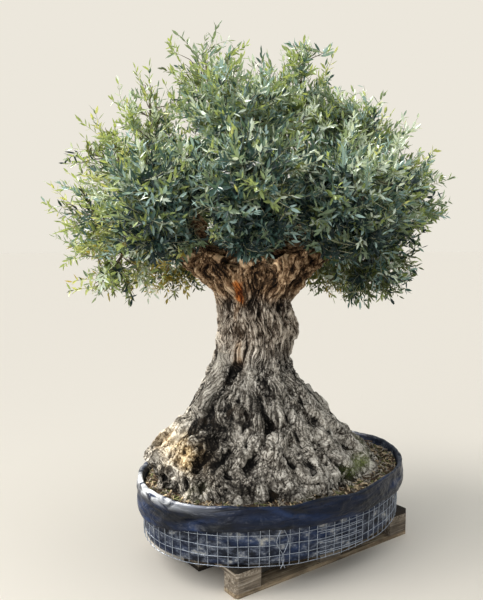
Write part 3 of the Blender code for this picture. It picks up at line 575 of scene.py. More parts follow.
def wood_material(name, along, colours, wear):
    """Sawn wood in three colours, dark to light. Along is the axis that the grain runs down."""
    n = Nodes(name)
    stretch = [26.0, 26.0, 26.0]
    stretch[along] = 1.4
    grain = n.noise(n.place(stretch), 3.0, 9.0, 0.68, 0.35)
    stain = n.noise(n.place(), 5.5, 6.0, 0.66)
    speck = n.noise(n.place(), 160.0, 4.0, 0.7)
    colour = n.ramp(grain, *((position, *each) for position, each in zip((0.28, 0.5, 0.75), colours)))
    colour = n.mix(n.span(stain, 0.42, 0.66, 0.0, wear), colour, srgb(46, 39, 32))
    colour = n.mix(n.span(speck, 0.62, 0.75, 0.0, 0.5), colour, srgb(38, 32, 27))
    return n.finish(colour, 0.86, n.plus(grain, n.times(speck, 0.3)), 0.6, 0.004, Specular_IOR_Level=0.25)


# --- Trunk, roots and boughs ---


def trunk_section(height):
    """Middle and half widths of the trunk at this height, on a smooth curve through its sections."""
    rows = TRUNK_SECTIONS
    index = max(k for k in range(len(rows) - 1) if rows[k][0] <= height or k == 0)
    before, low = rows[max(index - 1, 0)], rows[index]
    high, after = rows[index + 1], rows[min(index + 2, len(rows) - 1)]
    step = high[0] - low[0]
    t = min(max((height - low[0]) / step, 0.0), 1.0)

    def curve(k):
        slope_low = (high[k] - before[k]) / (high[0] - before[0]) * step
        slope_high = (after[k] - low[k]) / (after[0] - low[0]) * step
        near = (2 * t**3 - 3 * t**2 + 1) * low[k] + (t**3 - 2 * t**2 + t) * slope_low
        return near + (3 * t**2 - 2 * t**3) * high[k] + (t**3 - t**2) * slope_high

    return [curve(k) for k in range(1, 5)]


def turn_between(a, b):
    return (a - b + math.pi) % (2 * math.pi) - math.pi


def root_lines(height):
    """Bearing in the pallet's frame, and height above the skin, of each root's crest at this height."""
    lines = []
    for number, (foot, top, start, rise) in enumerate(ROOTS):
        share = min((height - SOIL_LEVEL) / (start - SOIL_LEVEL), 1.0)
        sway = ROOT_SWAY * math.sin(SWAY_STEP * number + SWAY_RATE * height)
        sway *= 1.0 - STRAIGHTENING * share
        fade = min(max((start + ROOT_END - height) / ROOT_FADE, 0.0), 1.0)
        fade = ROOT_TRACE + (1.0 - ROOT_TRACE) * fade * fade * (3.0 - 2.0 * fade)
        bearing = math.radians(foot + (top - foot) * share + sway) - FRONT_TURN
        swell = 1.0 + ROOT_SWELL * math.sin(SWELL_STEP * number + SWELL_RATE * height)
        lines.append((bearing, rise * fade * swell))
    return lines


def root_lift(angle, lines):
    """How far the skin stands out or in at this bearing: crests at the roots, valleys between."""
    for (near, near_rise), (far, far_rise) in zip(lines, [*lines[1:], lines[0]]):
        gap = (far - near) % (2 * math.pi)
        off = (angle - near) % (2 * math.pi)
        if off <= gap:
            share = off / gap
            crest = near_rise if share < 0.5 else far_rise
            wave = 0.5 + 0.5 * math.cos(2 * math.pi * share)
            return crest * wave - ROOT_VALLEY * (near_rise + (far_rise - near_rise) * share)
    return 0.0


def trunk_point(angle, height, lines, grow):
    """A point of the trunk's skin, moved out of it by grow, or into it where grow is below 0."""
    right, away, half_x, half_y = trunk_section(height)
    axis = at(right, away, height)
    point = Vector((half_x * math.cos(angle), half_y * math.sin(angle), 0.0))
    point *= 1.0 + root_lift(angle, lines) / point.length
    for bearing, level, size, rise in BURLS:
        off = turn_between(angle, math.radians(bearing) - FRONT_TURN) * point.length
        spread = (off**2 + (height - level) ** 2) / size**2
        point *= 1.0 + rise * math.exp(-2.0 * spread) / point.length
    point *= 1.0 + grow / point.length
    return axis + point


def bent_path(start, bend, end, count):
    shares = [k / (count - 1) for k in range(count)]
    return [start * (1 - t) ** 2 + bend * (2 * t * (1 - t)) + end * t**2 for t in shares]


def limb_layout():
    """Path and radii of each bough."""
    limbs = {}
    for seed, (name, foot, bend, tip, foot_radius, tip_radius) in enumerate(LIMBS):
        rng = random.Random(seed)
        path = bent_path(at(*foot), at(*bend), at(*tip), LIMB_POINTS)
        for k in range(1, LIMB_POINTS - 2):
            path[k] += Vector([rng.uniform(-LIMB_WANDER, LIMB_WANDER) for _ in range(3)])
        shares = [k / (LIMB_POINTS - 1) for k in range(LIMB_POINTS)]
        limbs[name] = (path, [foot_radius + (tip_radius - foot_radius) * t for t in shares])
    return limbs


def smooth_path(points, count):
    """A path through the points, evenly sampled on a Catmull-Rom curve."""
    pts = [2 * points[0] - points[1], *points, 2 * points[-1] - points[-2]]
    out = []
    for k in range(count):
        s = k / (count - 1) * (len(points) - 1)
        i = min(int(s), len(points) - 2)
        t = s - i
        a, b, c, d = pts[i : i + 4]
        curve = 2 * b + (c - a) * t + (2 * a - 5 * b + 4 * c - d) * t * t + (3 * b - 3 * c + d - a) * t**3
        out.append(0.5 * curve)
    return out


# Roots that show on the front: (bearing, height) from end to end, radius, how smooth their bark is.
SHOWN_ROOTS = (
    (((222, 1.06), (217, 0.92), (214, 0.80), (206, 0.71), (202, 0.62), (199, 0.54), (190, 0.42)), 0.038, 0.8),
    (((217, 0.80), (204, 0.75), (198, 0.70), (195, 0.65), (192, 0.58), (190, 0.48)), 0.024, 0.8),
    (((240, 0.89), (234, 0.83), (235, 0.78), (244, 0.74), (252, 0.71), (253, 0.66), (250, 0.58)), 0.022, 0.6),
    (((257, 0.98), (251, 0.91), (250, 0.84), (257, 0.80), (258, 0.76), (254, 0.74), (250, 0.75)), 0.018, 0.5),
    (((268, 0.98), (263, 0.86), (271, 0.77), (273, 0.70), (272, 0.65), (279, 0.59), (282, 0.52)), 0.032, 0.5),
    (((301, 1.01), (302, 0.9), (291, 0.80), (289, 0.75), (296, 0.68), (299, 0.60), (298, 0.50)), 0.032, 0.45),
    (((288, 0.70), (283, 0.65), (285, 0.59), (289, 0.53), (289, 0.45)), 0.042, 0.45),
    (((323, 0.96), (324, 0.86), (336, 0.78), (342, 0.69), (346, 0.61), (350, 0.50)), 0.036, 0.5),
    (((307, 0.84), (318, 0.72), (325, 0.62), (334, 0.53), (339, 0.44)), 0.030, 0.45),
    (((303, 0.79), (306, 0.70), (312, 0.61), (317, 0.52), (316, 0.43)), 0.028, 0.45),
    (((262, 0.47), (270, 0.50), (278, 0.51), (286, 0.49)), 0.040, 0.5),
    (((222, 0.52), (225, 0.60), (233, 0.65), (239, 0.68)), 0.044, 0.4),
    (((232, 0.50), (238, 0.57), (242, 0.62), (246, 0.66)), 0.026, 0.4),
    (((208, 0.64), (201, 0.60), (195, 0.55), (193, 0.50), (196, 0.43)), 0.022, 0.9),
    (((212, 0.60), (206, 0.55), (200, 0.50), (202, 0.43)), 0.022, 0.8),
    (((222, 0.56), (214, 0.52), (210, 0.47), (212, 0.41)), 0.020, 0.8),
    (((235, 0.67), (241, 0.61), (237, 0.55), (242, 0.50), (240, 0.43)), 0.014, 0.8),
    (((247, 0.68), (252, 0.61), (247, 0.55), (253, 0.49), (250, 0.43)), 0.015, 0.8),
    (((228, 0.55), (234, 0.51), (232, 0.46), (238, 0.42)), 0.015, 0.7),
    (((256, 0.66), (261, 0.60), (257, 0.53), (263, 0.47), (261, 0.42)), 0.017, 0.7),
    (((266, 0.72), (262, 0.66), (267, 0.60), (265, 0.54), (271, 0.48)), 0.018, 0.7),
    (((309, 0.66), (304, 0.60), (308, 0.54), (303, 0.47)), 0.017, 0.6),
    (((322, 0.74), (318, 0.66), (323, 0.60), (321, 0.52)), 0.017, 0.6),
    (((336, 0.66), (332, 0.60), (335, 0.54), (331, 0.47)), 0.016, 0.6),
)
ROOT_STAND = 0.50  # how much of a shown root's thickness stands out of the flare
# Where the flare is hollow: (bearing, height) along each hollow, half width, depth.
HOLLOWS = (
    (((248, 1.00), (240, 0.93), (235, 0.88), (231, 0.81), (233, 0.74)), 0.030, 0.050),
    (((226, 0.86), (221, 0.78), (212, 0.72), (210, 0.66)), 0.020, 0.030),
    (((315, 0.99), (308, 0.88), (311, 0.79), (322, 0.70), (328, 0.64)), 0.020, 0.034),
    (((288, 0.95), (289, 0.90)), 0.022, 0.040),
    (((290, 0.72), (280, 0.73)), 0.026, 0.040),
    (((249, 0.72), (245, 0.60), (240, 0.50)), 0.060, 0.036),
    (((296, 0.56), (294, 0.48)), 0.020, 0.030),
    (((275, 0.60), (271, 0.54), (266, 0.49)), 0.020, 0.035),
    (((206, 0.50), (212, 0.46)), 0.026, 0.040),
    (((200, 0.62), (208, 0.56), (216, 0.50)), 0.070, 0.013),
)
# Round knots: bearing, height, radius.
KNOTS = ((276, 1.425, 0.034), (322, 1.24, 0.030), (236, 1.20, 0.026), (80, 1.25, 0.032), (140, 0.95, 0.030))
KNOT_PUSH, KNOT_GROOVE = 0.014, 0.008  # how far a knot stands out, and how deep the ring round it is
ROPE_STEPS, SMALL_STEPS, HOLLOW_STEPS = 26, 20, 12  # points along a shown root, a small one, a hollow
# Small roots all round the foot: number, how far off even and how far aside in degrees, ranges of the
# height that they start at and of their radius, how smooth.
SMALL_ROOTS = (
    (40, 4, 10, (0.56, 0.86), (0.016, 0.027), 0.75),
    (58, 3, 12, (0.46, 0.60), (0.010, 0.017), 0.7),
)
SMALL_SUNK = 0.62  # how much of a small root's radius is under the skin
SKIN_SIDES, SKIN_ROWS, BARK_FOOT = 170, 70, 0.008  # the foot of the bark is this far under the soil's level
ROPE_SIDES, LIMB_SIDES, STEM_SIDES, LIMB_STEPS, STEM_STEPS = 10, 16, 8, 16, 9
THINNEST_STEM = 0.011  # a thinner stem would fall through the skin's mesh
HEAD_BAND, BAND_EDGE, HEAD_ROUNDS = (1.30, 1.58), 0.08, 14  # where boughs join, smoothed this many times
UNREACHED = 1e9  # distance where no path is near
GRAIN_MIDDLE = (-0.15, 0.04, 0)  # the grain of trunk and flare runs round this


def skin_path(points, sunk):
    """The points as places on the trunk, each that far under the skin."""
    path = []
    for bearing, height in points:
        angle, level = math.radians(bearing) - FRONT_TURN, max(height, SOIL_LEVEL + 0.002)
        path.append(trunk_point(angle, level, root_lines(height), -sunk))
    return path


def rope_roots():
    """Roots that run down the flare: path, radii and how smooth each is."""
    rng = random.Random(5)
    out = []
    for points, radius, smooth in SHOWN_ROOTS:
        path = smooth_path(skin_path(points, radius * (1 - ROOT_STAND)), ROPE_STEPS)
        arch = [math.sin(math.pi * (0.18 + 0.7 * k / ROPE_STEPS)) for k in range(ROPE_STEPS)]
        radii = [radius * (0.62 + 0.45 * a) for a in arch]
        radii = [r * (1 + 0.13 * math.sin(1.1 * k + radius * 90)) for k, r in enumerate(radii)]
        out.append((path, radii, smooth))
    rows = []
    for number, uneven, drift, tops, sizes, smooth in SMALL_ROOTS:
        for k in range(number):
            bearing = k * 360 / number + rng.uniform(-uneven, uneven)
            drawn = [rng.uniform(*limits) for limits in ((-drift, drift), tops, sizes)]
            rows.append((bearing, *drawn, smooth))
    for bearing, drift, top, radius, smooth in rows:
        sway, phase, bends = rng.uniform(2, 6), rng.uniform(0, 2 * math.pi), rng.uniform(6, 12)
        spots = []
        for k in range(SMALL_STEPS):
            t = k / (SMALL_STEPS - 1)
            turn = bearing + drift * t + sway * math.sin(phase + bends * t)
            spots.append((turn, top + (SOIL_LEVEL - 0.01 - top) * t))
        path = skin_path(spots, radius * SMALL_SUNK)
        for point, (_, level) in zip(path, spots):
            point.z = level
        shares = np.linspace(0, 1, SMALL_STEPS)
        radii = [radius * (0.7 + 0.3 * t + 0.16 * math.sin(phase + 11 * t)) for t in shares]
        out.append((path, radii, smooth))
    return out


def make_bark(limbs, stems):
    """One skin over trunk, roots and boughs, pushed in and out into furrows, plates and pits."""
    bm = bmesh.new()
    top = TRUNK_SECTIONS[-1][0]
    rings = []
    for k in range(SKIN_ROWS + 1):
        height = SOIL_LEVEL - BARK_FOOT + (top - SOIL_LEVEL + BARK_FOOT) * k / SKIN_ROWS
        lines, ring = root_lines(height), []
        for side in range(SKIN_SIDES):
            angle = 2 * math.pi * side / SKIN_SIDES
            point = trunk_point(angle, max(height, SOIL_LEVEL), lines, -BARK_DEPTH)
            ring.append(bm.verts.new((point.x, point.y, height)))
        rings.append(ring)
    for low, high in zip(rings, rings[1:]):
        for side in range(SKIN_SIDES):
            other = (side + 1) % SKIN_SIDES
            bm.faces.new((low[side], low[other], high[other], high[side]))
    bm.faces.new(rings[0][::-1])
    bm.faces.new(rings[-1])
    ropes = rope_roots()
    for path, radii, _ in ropes:
        capped_tube(bm, path, radii, ROPE_SIDES)
    for path, radii in limbs.values():
        widths = np.interp(np.linspace(0, 1, LIMB_STEPS), np.linspace(0, 1, len(radii)), radii)
        capped_tube(bm, smooth_path(path, LIMB_STEPS), widths, LIMB_SIDES)
    for path, radii in stems.values():
        widths = np.interp(np.linspace(0, 3, STEM_STEPS), range(4), radii[:4])
        capped_tube(bm, smooth_path(path[:4], STEM_STEPS), np.maximum(widths, THINNEST_STEM), STEM_SIDES)
    mesh = bpy.data.meshes.new("bark_base")
    bm.to_mesh(mesh)
    bm.free()
    obj = show("trunk_and_boughs", mesh)
    remesh = obj.modifiers.new("skin", "REMESH")
    remesh.mode, remesh.voxel_size = "VOXEL", BARK_VOXEL
    graph = bpy.context.evaluated_depsgraph_get()
    skin = bpy.data.meshes.new_from_object(obj.evaluated_get(graph), depsgraph=graph)
    obj.modifiers.remove(remesh)
    obj.data = skin
    relax(skin)
    for _ in range(HEAD_ROUNDS):
        relax(skin, HEAD_BAND)
    relief_of(skin, limbs, ropes)
    skin.materials.clear()
    skin.materials.append(bark_material())
    skin.shade_smooth()
    return obj


def relax(mesh, band=None):
    """Moves each point half way to the middle of its neighbours, or only those between two heights."""
    co, share = read_vectors(mesh.vertices, "co"), 0.5
    edges = np.empty(len(mesh.edges) * 2, np.int32)
    mesh.edges.foreach_get("vertices", edges)
    edges = edges.reshape(-1, 2)
    total, count = np.zeros_like(co), np.zeros(len(co))
    for a, b in ((0, 1), (1, 0)):
        np.add.at(total, edges[:, a], co[edges[:, b]])
        np.add.at(count, edges[:, a], 1)
    if band:
        low, high = band
        within = step_up(co[:, 2], low, low + BAND_EDGE) * step_down(co[:, 2], high - BAND_EDGE, high)
        share = share * within[:, None]
    co += (total / np.maximum(count, 1)[:, None] - co) * share
    move_points(mesh, co)


def nearest_axis(points, paths):
    """Direction of, distance in radii from, and row of the nearest of several paths."""
    best = np.full(len(points), UNREACHED)
    direction = np.zeros((len(points), 3))
    row = np.zeros(len(points), int)
    for number, (path, radii) in enumerate(paths):
        spots, sizes = np.array([tuple(p) for p in path]), np.array(radii)
        reach = 2.5 * sizes.max()
        close = np.nonzero(((points > spots.min(0) - reach) & (points < spots.max(0) + reach)).all(axis=1))[0]
        some = points[close]
        for k in range(len(path) - 1):
            a, b = spots[k], spots[k + 1]
            ab = b - a
            t = np.clip((some - a) @ ab / (ab @ ab), 0, 1)
            gap = np.linalg.norm(some - a - t[:, None] * ab, axis=1)
            gap = gap / (sizes[k] + (sizes[k + 1] - sizes[k]) * t)
            closer = gap < best[close]
            rows = close[closer]
            best[rows] = gap[closer]
            direction[rows] = ab / np.linalg.norm(ab)
            row[rows] = number
    return direction, best, row


def relief_of(mesh, limbs, ropes):
    """The bark's furrows, plates, knots and pits with their painted shade and light, and where it is warm,
    mossy, straw-coloured with painted sunlight, or smooth.
    """
    co, no = read_vectors(mesh.vertices, "co"), read_vectors(mesh.vertex_normals, "vector")
    right, away, up = from_front(co)  # up is co's own column, so it follows when the points move
    limb_way, _, _ = nearest_axis(co, list(limbs.values()))
    _, rope_gap, rope_row = nearest_axis(co, [(path, radii) for path, radii, _ in ropes])
    on_limb = step_up(up, 1.60, 1.70) * (np.linalg.norm(limb_way, axis=1) > 0.5)
    on_rope = step_down(rope_gap, 1.0, 1.5) * (up < 1.08)
    smooth = np.array([s for _, _, s in ropes])[rope_row] * on_rope
    rough = 1 - smooth * 0.85
    # The grain: round the trunk, and down it along its flare. On the boughs it follows each bough.
    wander = np.stack([fractal(co * 6.0, 3, seed) for seed in (1, 2, 3)], axis=1) - 0.5
    bent = co + wander * (0.13 - 0.08 * step_up(up, 1.30, 1.46))[:, None]
    middle = at(*GRAIN_MIDDLE)
    angle = np.arctan2(bent[:, 1] - middle.y, bent[:, 0] - middle.x)
    radius = np.hypot(bent[:, 0] - middle.x, bent[:, 1] - middle.y)
    low_part = step_down(up, 0.72, 1.10)
    drop = np.where(up < 1.0, -np.hypot(radius, 1.0 - bent[:, 2]) * 0.9 + 1.2, bent[:, 2])
    drop = drop + np.clip(radius - 0.26, 0, 1) * step_up(up, 1.38, 1.50)
    drop = drop * (GRAIN_STRETCH + 0.16 * low_part)
    drum = np.stack([np.cos(angle) * GRAIN_ROUND, np.sin(angle) * GRAIN_ROUND, drop], axis=1)
    along = (bent * limb_way).sum(axis=1)
    arm = bent - limb_way * along[:, None] * (1 - GRAIN_STRETCH)
    grain = drum * (1 - on_limb)[:, None] + arm * on_limb[:, None]
    # The forms: lines along the grain on the neck, and pits and worm tracks on the flare.
    gnarl = low_part * np.clip(fractal(co * 5.0, 2, 31) * 3.4 - 0.9, 0.2, 1)
    furrow = veins(grain * 44.0, 3, 7, 2.6) ** 1.4
    split = veins(grain * 85.0, 2, 57, 2.8)
    rib = veins(grain * 24.0, 2, 97, 2.8) * step_up(up, 1.18, 1.36)
    plates = fractal(grain * 80.0, 2, 17) - 0.5
    pit = pits(bent * np.array([1, 1, 0.7]) * 28.0, 0.40, 3)
    small_pit = pits(bent * np.array([1, 1, 0.65]) * 55.0, 0.42, 9)
    worm = veins(bent * np.array([1, 1, 0.5]) * 32.0, 2, 77, 3.0)
    lumps = fractal(co * 12.0, 3, 27) - 0.5
    cut, edge = np.zeros(len(co)), 0.75 + 0.5 * fractal(co * 30.0, 2, 5)
    for points, width, depth in HOLLOWS:
        path = smooth_path(skin_path(points, 0.0), HOLLOW_STEPS)
        _, gap, _ = nearest_axis(co, [(path, [width] * HOLLOW_STEPS)])
        cut = np.maximum(cut, np.exp(-((np.minimum(gap, 9) / edge) ** 2) * 0.9) * depth)
    knot_push, knot_ring = np.zeros(len(co)), np.zeros(len(co))
    for bearing, height, size in KNOTS:
        spot = np.array(skin_path([(bearing, height)], 0.0)[0])
        off = np.linalg.norm(co - spot, axis=1) / size
        knot_push += np.exp(-((off / 0.75) ** 2)) * KNOT_PUSH
        knot_ring += np.exp(-(((off - 1.05) / 0.22) ** 2))
    push = lumps * (0.034 - 0.016 * low_part) * rough
    push -= furrow * (0.010 + 0.008 * (1 - low_part)) * (1 - 0.5 * gnarl) * rough
    push -= split * 0.006 * rough + rib * 0.020
    push -= (pit * 0.018 + small_pit * 0.009 + worm * 0.013) * gnarl * rough
    push += plates * 0.012 * rough
    push -= 0.045 * patch_at(right, up, -0.72, 0.11, 0.53, 0.10)
    push += 0.006 + knot_push - knot_ring * KNOT_GROOVE - cut * (1 - 0.9 * smooth)
    skirt = np.clip((up - SOIL_LEVEL + 0.01) / 0.03, 0.15, 1)
    co += no * (push * skirt)[:, None]
    move_points(mesh, co)
    # Painted shade and light in the bark's colour: dark in every line, pit, hollow and knot groove, lighter
    # on the lumps, plates and knots that stand out.
    shade = 0.74 + lumps * 0.5 + plates * 0.4 - knot_ring * 0.4 + knot_push * 12
    shade -= (furrow * 0.40 + split * 0.26 + (pit * 0.45 + small_pit * 0.30 + worm * 0.42) * gnarl) * rough
    shade -= np.clip(cut / 0.04, 0, 1) * 0.6 * (1 - smooth) + rib * 0.5
    # Painted shade between the roots, and darker towards the foot.
    shade_between_roots = 0.42 * step_up(rope_gap, 1.05, 1.5) * step_down(up, 0.70, 0.90)
    shade -= shade_between_roots + 0.14 * step_down(up, 0.43, 0.58)
    # Painted shade in the dell left of the middle, painted sunlight on the left foot and the right flank; a
    # little darker on the flare, lighter up the neck.
    dell_shade = patch_at(right, up, -0.32, 0.12, 0.58, 0.10) * (away < 0)
    lit_flank = step_up(right, 0.02, 0.22) * step_down(up, 0.85, 0.98)
    lit_foot = patch_at(right, up, -0.64, 0.11, 0.60, 0.13)
    shade += 0.20 * lit_foot + 0.12 * lit_flank - 0.42 * dell_shade * (1 - 0.6 * smooth) - 0.03 * low_part
    shade += 0.07 * step_up(up, 0.98, 1.10)
    store(mesh, "painted_relief_shade", np.clip(shade, 0, 1))
    store(mesh, "grain", grain)
    # Its colours: brown up the neck, in a streak and by patches, orange in the scar under the boughs.
    face = climb(away, 0.12, -0.15)
    warm = step_up(up + 0.10 * (fractal(co * 9.0, 3, 61) - 0.5), 1.26, 1.42) * 0.95
    streak = np.exp(-(((right + 0.245) / 0.035) ** 2)) * step_up(up, 0.95, 1.05) * face
    warm = np.maximum(warm, 0.28 * step_up(up + 0.3 * (fractal(co * 7.0, 2, 67) - 0.5), 0.95, 1.20))
    warm = np.maximum(warm, streak * 0.75 * np.clip(fractal(co * 14.0, 2, 63) * 3 - 0.8, 0, 1))
    off_scar = right + 0.238 - (1.39 - up) * 0.22 + 0.03 * (fractal(co * 22.0, 2, 65) - 0.5)
    scar = np.exp(-((off_scar / 0.021) ** 2) - ((up - 1.395) / 0.062) ** 4) * face
    store(mesh, "warm", warm + 2.2 * scar)
    patches = np.clip(fractal(co * 6.0, 3, 41) * 4 - 2.5, 0, 1) * climb(up, 0.52, -0.10)
    store(mesh, "moss", np.clip(patch_at(right, up, 0.40, 0.08, 0.47, 0.030) + 0.3 * patches, 0, 1))
    # Straw colour with painted sunlight: the clump at the left foot, and the foot's sunlit left rim, on the
    # sides toward the front.
    clump, rim = patch_at(right, up, -0.50, 0.085, 0.60, 0.055), patch_at(right, up, -0.66, 0.07, 0.62, 0.09)
    straw_and_sunlit_rim = (0.85 * clump + 0.40 * rim) * climb(away, 0.35, -0.2)
    store(mesh, "straw_and_sun", np.clip(straw_and_sunlit_rim * (0.3 + 1.2 * fractal(co * 18.0, 2, 71)), 0, 1))
    store(mesh, "root", np.clip(smooth, 0, 1))
    store(mesh, "flare", low_part)


# --- Foliage ---

TWIG_STEPS, TWIG_SIDES = 5, 3
LEAF_LENGTH, LEAF_WIDTH, LEAF_PAIRS = 0.058, 0.0146, 8
LEAFY_LENGTH = 0.24  # only this much of a spray's end carries leaves
SPRAYS = 520  # of a mass of density 1 and the usual size
USUAL_SIZE = 0.30
LONG_SHOOTS = 0.20  # the share of sprays that stand out of the room's round side
# Where sprays also fill the gap between two masses: the mass they grow from, middle, radius, number.
JOINS = (
    ("mass_right_upper", (0.17, 0.00, 2.36), 0.150, 60),
    ("mass_top_right", (0.05, -0.06, 2.34), 0.130, 24),
    ("mass_sprig", (0.09, 0.08, 2.68), 0.090, 16),
    ("mass_back_left", (-0.46, 0.50, 1.80), 0.100, 26),
)
# Where boughs show through the front: (right, up) of the middle, and radius.
WINDOW, WINDOW_RADIUS = (-0.41, 1.745), 0.055
BARE_MIDDLE = (-0.12, 0.04, 0)
BARE_HEAD, BARE_TOP = 0.46, 1.64  # how far out from there, and how high, no leaves hang in front
SPARSE_TOPS = {"mass_sprig": 0.60, "mass_top_right": 0.40}  # share of the upper sprays left out
PAIR_GAP = 0.017  # pairs closer than this lose every other one
STATIONS = (0.15, 0.3, 0.45, 0.6, 0.72, 0.82, 0.91, 0.98)  # where sprays may leave a branch
SHORTEST_BRANCH, SHORTEST_SPRAY = 0.06, 0.05
BRANCH_TIP, SPRAY_TIP, JOIN_FOOT = 0.0016, 0.0009, 0.0020  # radii
SPRIG_RADII = (0.006, 0.0010)  # the thickest that its stem may be at its foot and at its tip
STEM_THINNING = (1.0, 0.95, 0.72, 0.5, 0.30)
LEAVES_KEPT, ODD_LEAVES = 0.94, 0.22  # shares of the leaves that stay, and that take a colour of their own
LEAF_OUTLINE = ((0.0, 0.0), (0.28, 0.92), (0.62, 0.95), (1.0, 0.0), (0.62, -0.95), (0.28, -0.92))
MIDRIB, MIDRIB_SUNK = (0.46, 0.0), 0.40
# Lit and shaded copies of one grey-green leaf: deep_teal and teal are painted shade low in front, blue_grey a
# painted sky highlight there, olive painted shade low down and under, pale painted highlight and silvery
# undersides, fresh and yellow painted sunlight, gold painted backlight under the back.
LEAF_COLOURS = {  # face, light through it
    "deep_teal": ((24, 44, 46), (44, 62, 40)),
    "teal": ((62, 90, 88), (84, 104, 66)),
    "blue_grey": ((150, 176, 172), (122, 142, 104)),
    "grey_green": ((114, 132, 108), (138, 154, 96)),
    "pale": ((208, 220, 204), (180, 190, 142)),
    "fresh": ((132, 148, 92), (178, 190, 98)),
    "yellow": ((174, 182, 114), (210, 208, 112)),
    "gold": ((134, 122, 58), (206, 184, 76)),
    "olive": ((66, 76, 44), (116, 124, 56)),
}
FOLIAGE_GROUPS = {
    "left": ("mass_left", "mass_left_lower", "mass_left_upper", "mass_upper_left"),
    "top": ("mass_top_left", "mass_crown_front", "mass_crown_back", "mass_top_right", "mass_sprig"),
    "right": ("mass_right_upper", "mass_right", "mass_right_lower"),
    "front": ("mass_front_left", "mass_front", "mass_front_right"),
    "back_left": ("mass_back_left", "mass_back_left_lower", "mass_back"),
    "back_right": ("mass_back_right", "mass_back_right_lower"),
}


class Space:
    """The room one mass keeps to: an egg round its centre, cut flat halfway to each neighbour."""

    def __init__(self, row):
        self.centre = at(*row[2])
        self.half_width, self.half_height = row[3], row[4]
        self.walls = []
        for other in MASSES:
            if other is row:
                continue
            between = at(*other[2]) - self.centre
            apart = between.length
            own, theirs = row[3] + row[4], other[3] + other[4]
            self.walls.append((between / apart, apart / 2 + (own**2 - theirs**2) / (8 * apart) - MASS_GAP))
        self.normals = np.array([normal for normal, _ in self.walls])
        self.depths = np.array([depth for _, depth in self.walls])

    def reach(self, direction):
        """How far the room goes from its centre this way."""
        level = (direction.x**2 + direction.y**2) / self.half_width**2
        far = 1.0 / math.sqrt(level + direction.z**2 / self.half_height**2)
        for normal, depth in self.walls:
            along = direction.dot(normal)
            if along > 1e-6:
                far = min(far, depth / along)
        return far

    def holds(self, points, most_round, most_wall):
        """Which points of an (n, 3) array lie in the room or a join, the room's two sides stretched."""
        off = points - np.array(self.centre)
        level = (off[:, 0] ** 2 + off[:, 1] ** 2) / self.half_width**2
        round_share = np.sqrt(level + off[:, 2] ** 2 / self.half_height**2)
        walls = (off @ self.normals.T / self.depths).max(axis=1)
        return ((round_share < most_round) & (walls < most_wall)) | in_joins(points)


def stem_layout(limbs):
    """Path and radii of the stem from a bough into each mass that it carries."""
    stems = {}
    for name, (path, radii) in limbs.items():
        carried = [row for row in MASSES if row[1] == name]
        axis = (path[-1] - path[-2]).normalized()
        middle = sum((at(*row[2]) for row in carried), Vector()) / max(len(carried), 1)
        for row in carried:
            space = Space(row)
            aside = space.centre - middle
            aside -= axis * aside.dot(axis)
            offset_share, radius_share = STEM_SHARES[len(carried)]
            offset = aside.normalized() * radii[-1] * offset_share
            radius = radii[-1] * radius_share
            start = path[-1] + offset - axis * 0.02
            straight = start + axis * radius * 2.2
            outward = (space.centre - straight).normalized()
            end = space.centre + outward * space.reach(outward) * STEM_TIP_SHARE
            bend = straight + axis * (end - straight).length * 0.25
            points = [start, *bent_path(straight, bend, end, 4)]
            stems[row[0]] = (points, [max(radius * share, 0.006) for share in STEM_THINNING])
    return stems


def even_directions(count, turn):
    for k in range(count):
        height = 1.0 - 2.0 * (k + 0.5) / count
        flat = math.sqrt(1.0 - height**2)
        bearing = turn + GOLDEN_ANGLE * k
        yield Vector((flat * math.cos(bearing), flat * math.sin(bearing), height))


def path_point(path, share):
    """The point this share of the way along a path, and its direction there."""
    lengths = [(b - a).length for a, b in zip(path, path[1:])]
    left = share * sum(lengths)
    for k, length in enumerate(lengths):
        if left <= length or k == len(lengths) - 1:
            direction = (path[k + 1] - path[k]).normalized()
            return path[k] + direction * min(left, length), direction
        left -= length


def random_vector(rng):
    return Vector((rng.uniform(-1, 1), rng.uniform(-1, 1), rng.uniform(-1, 1)))


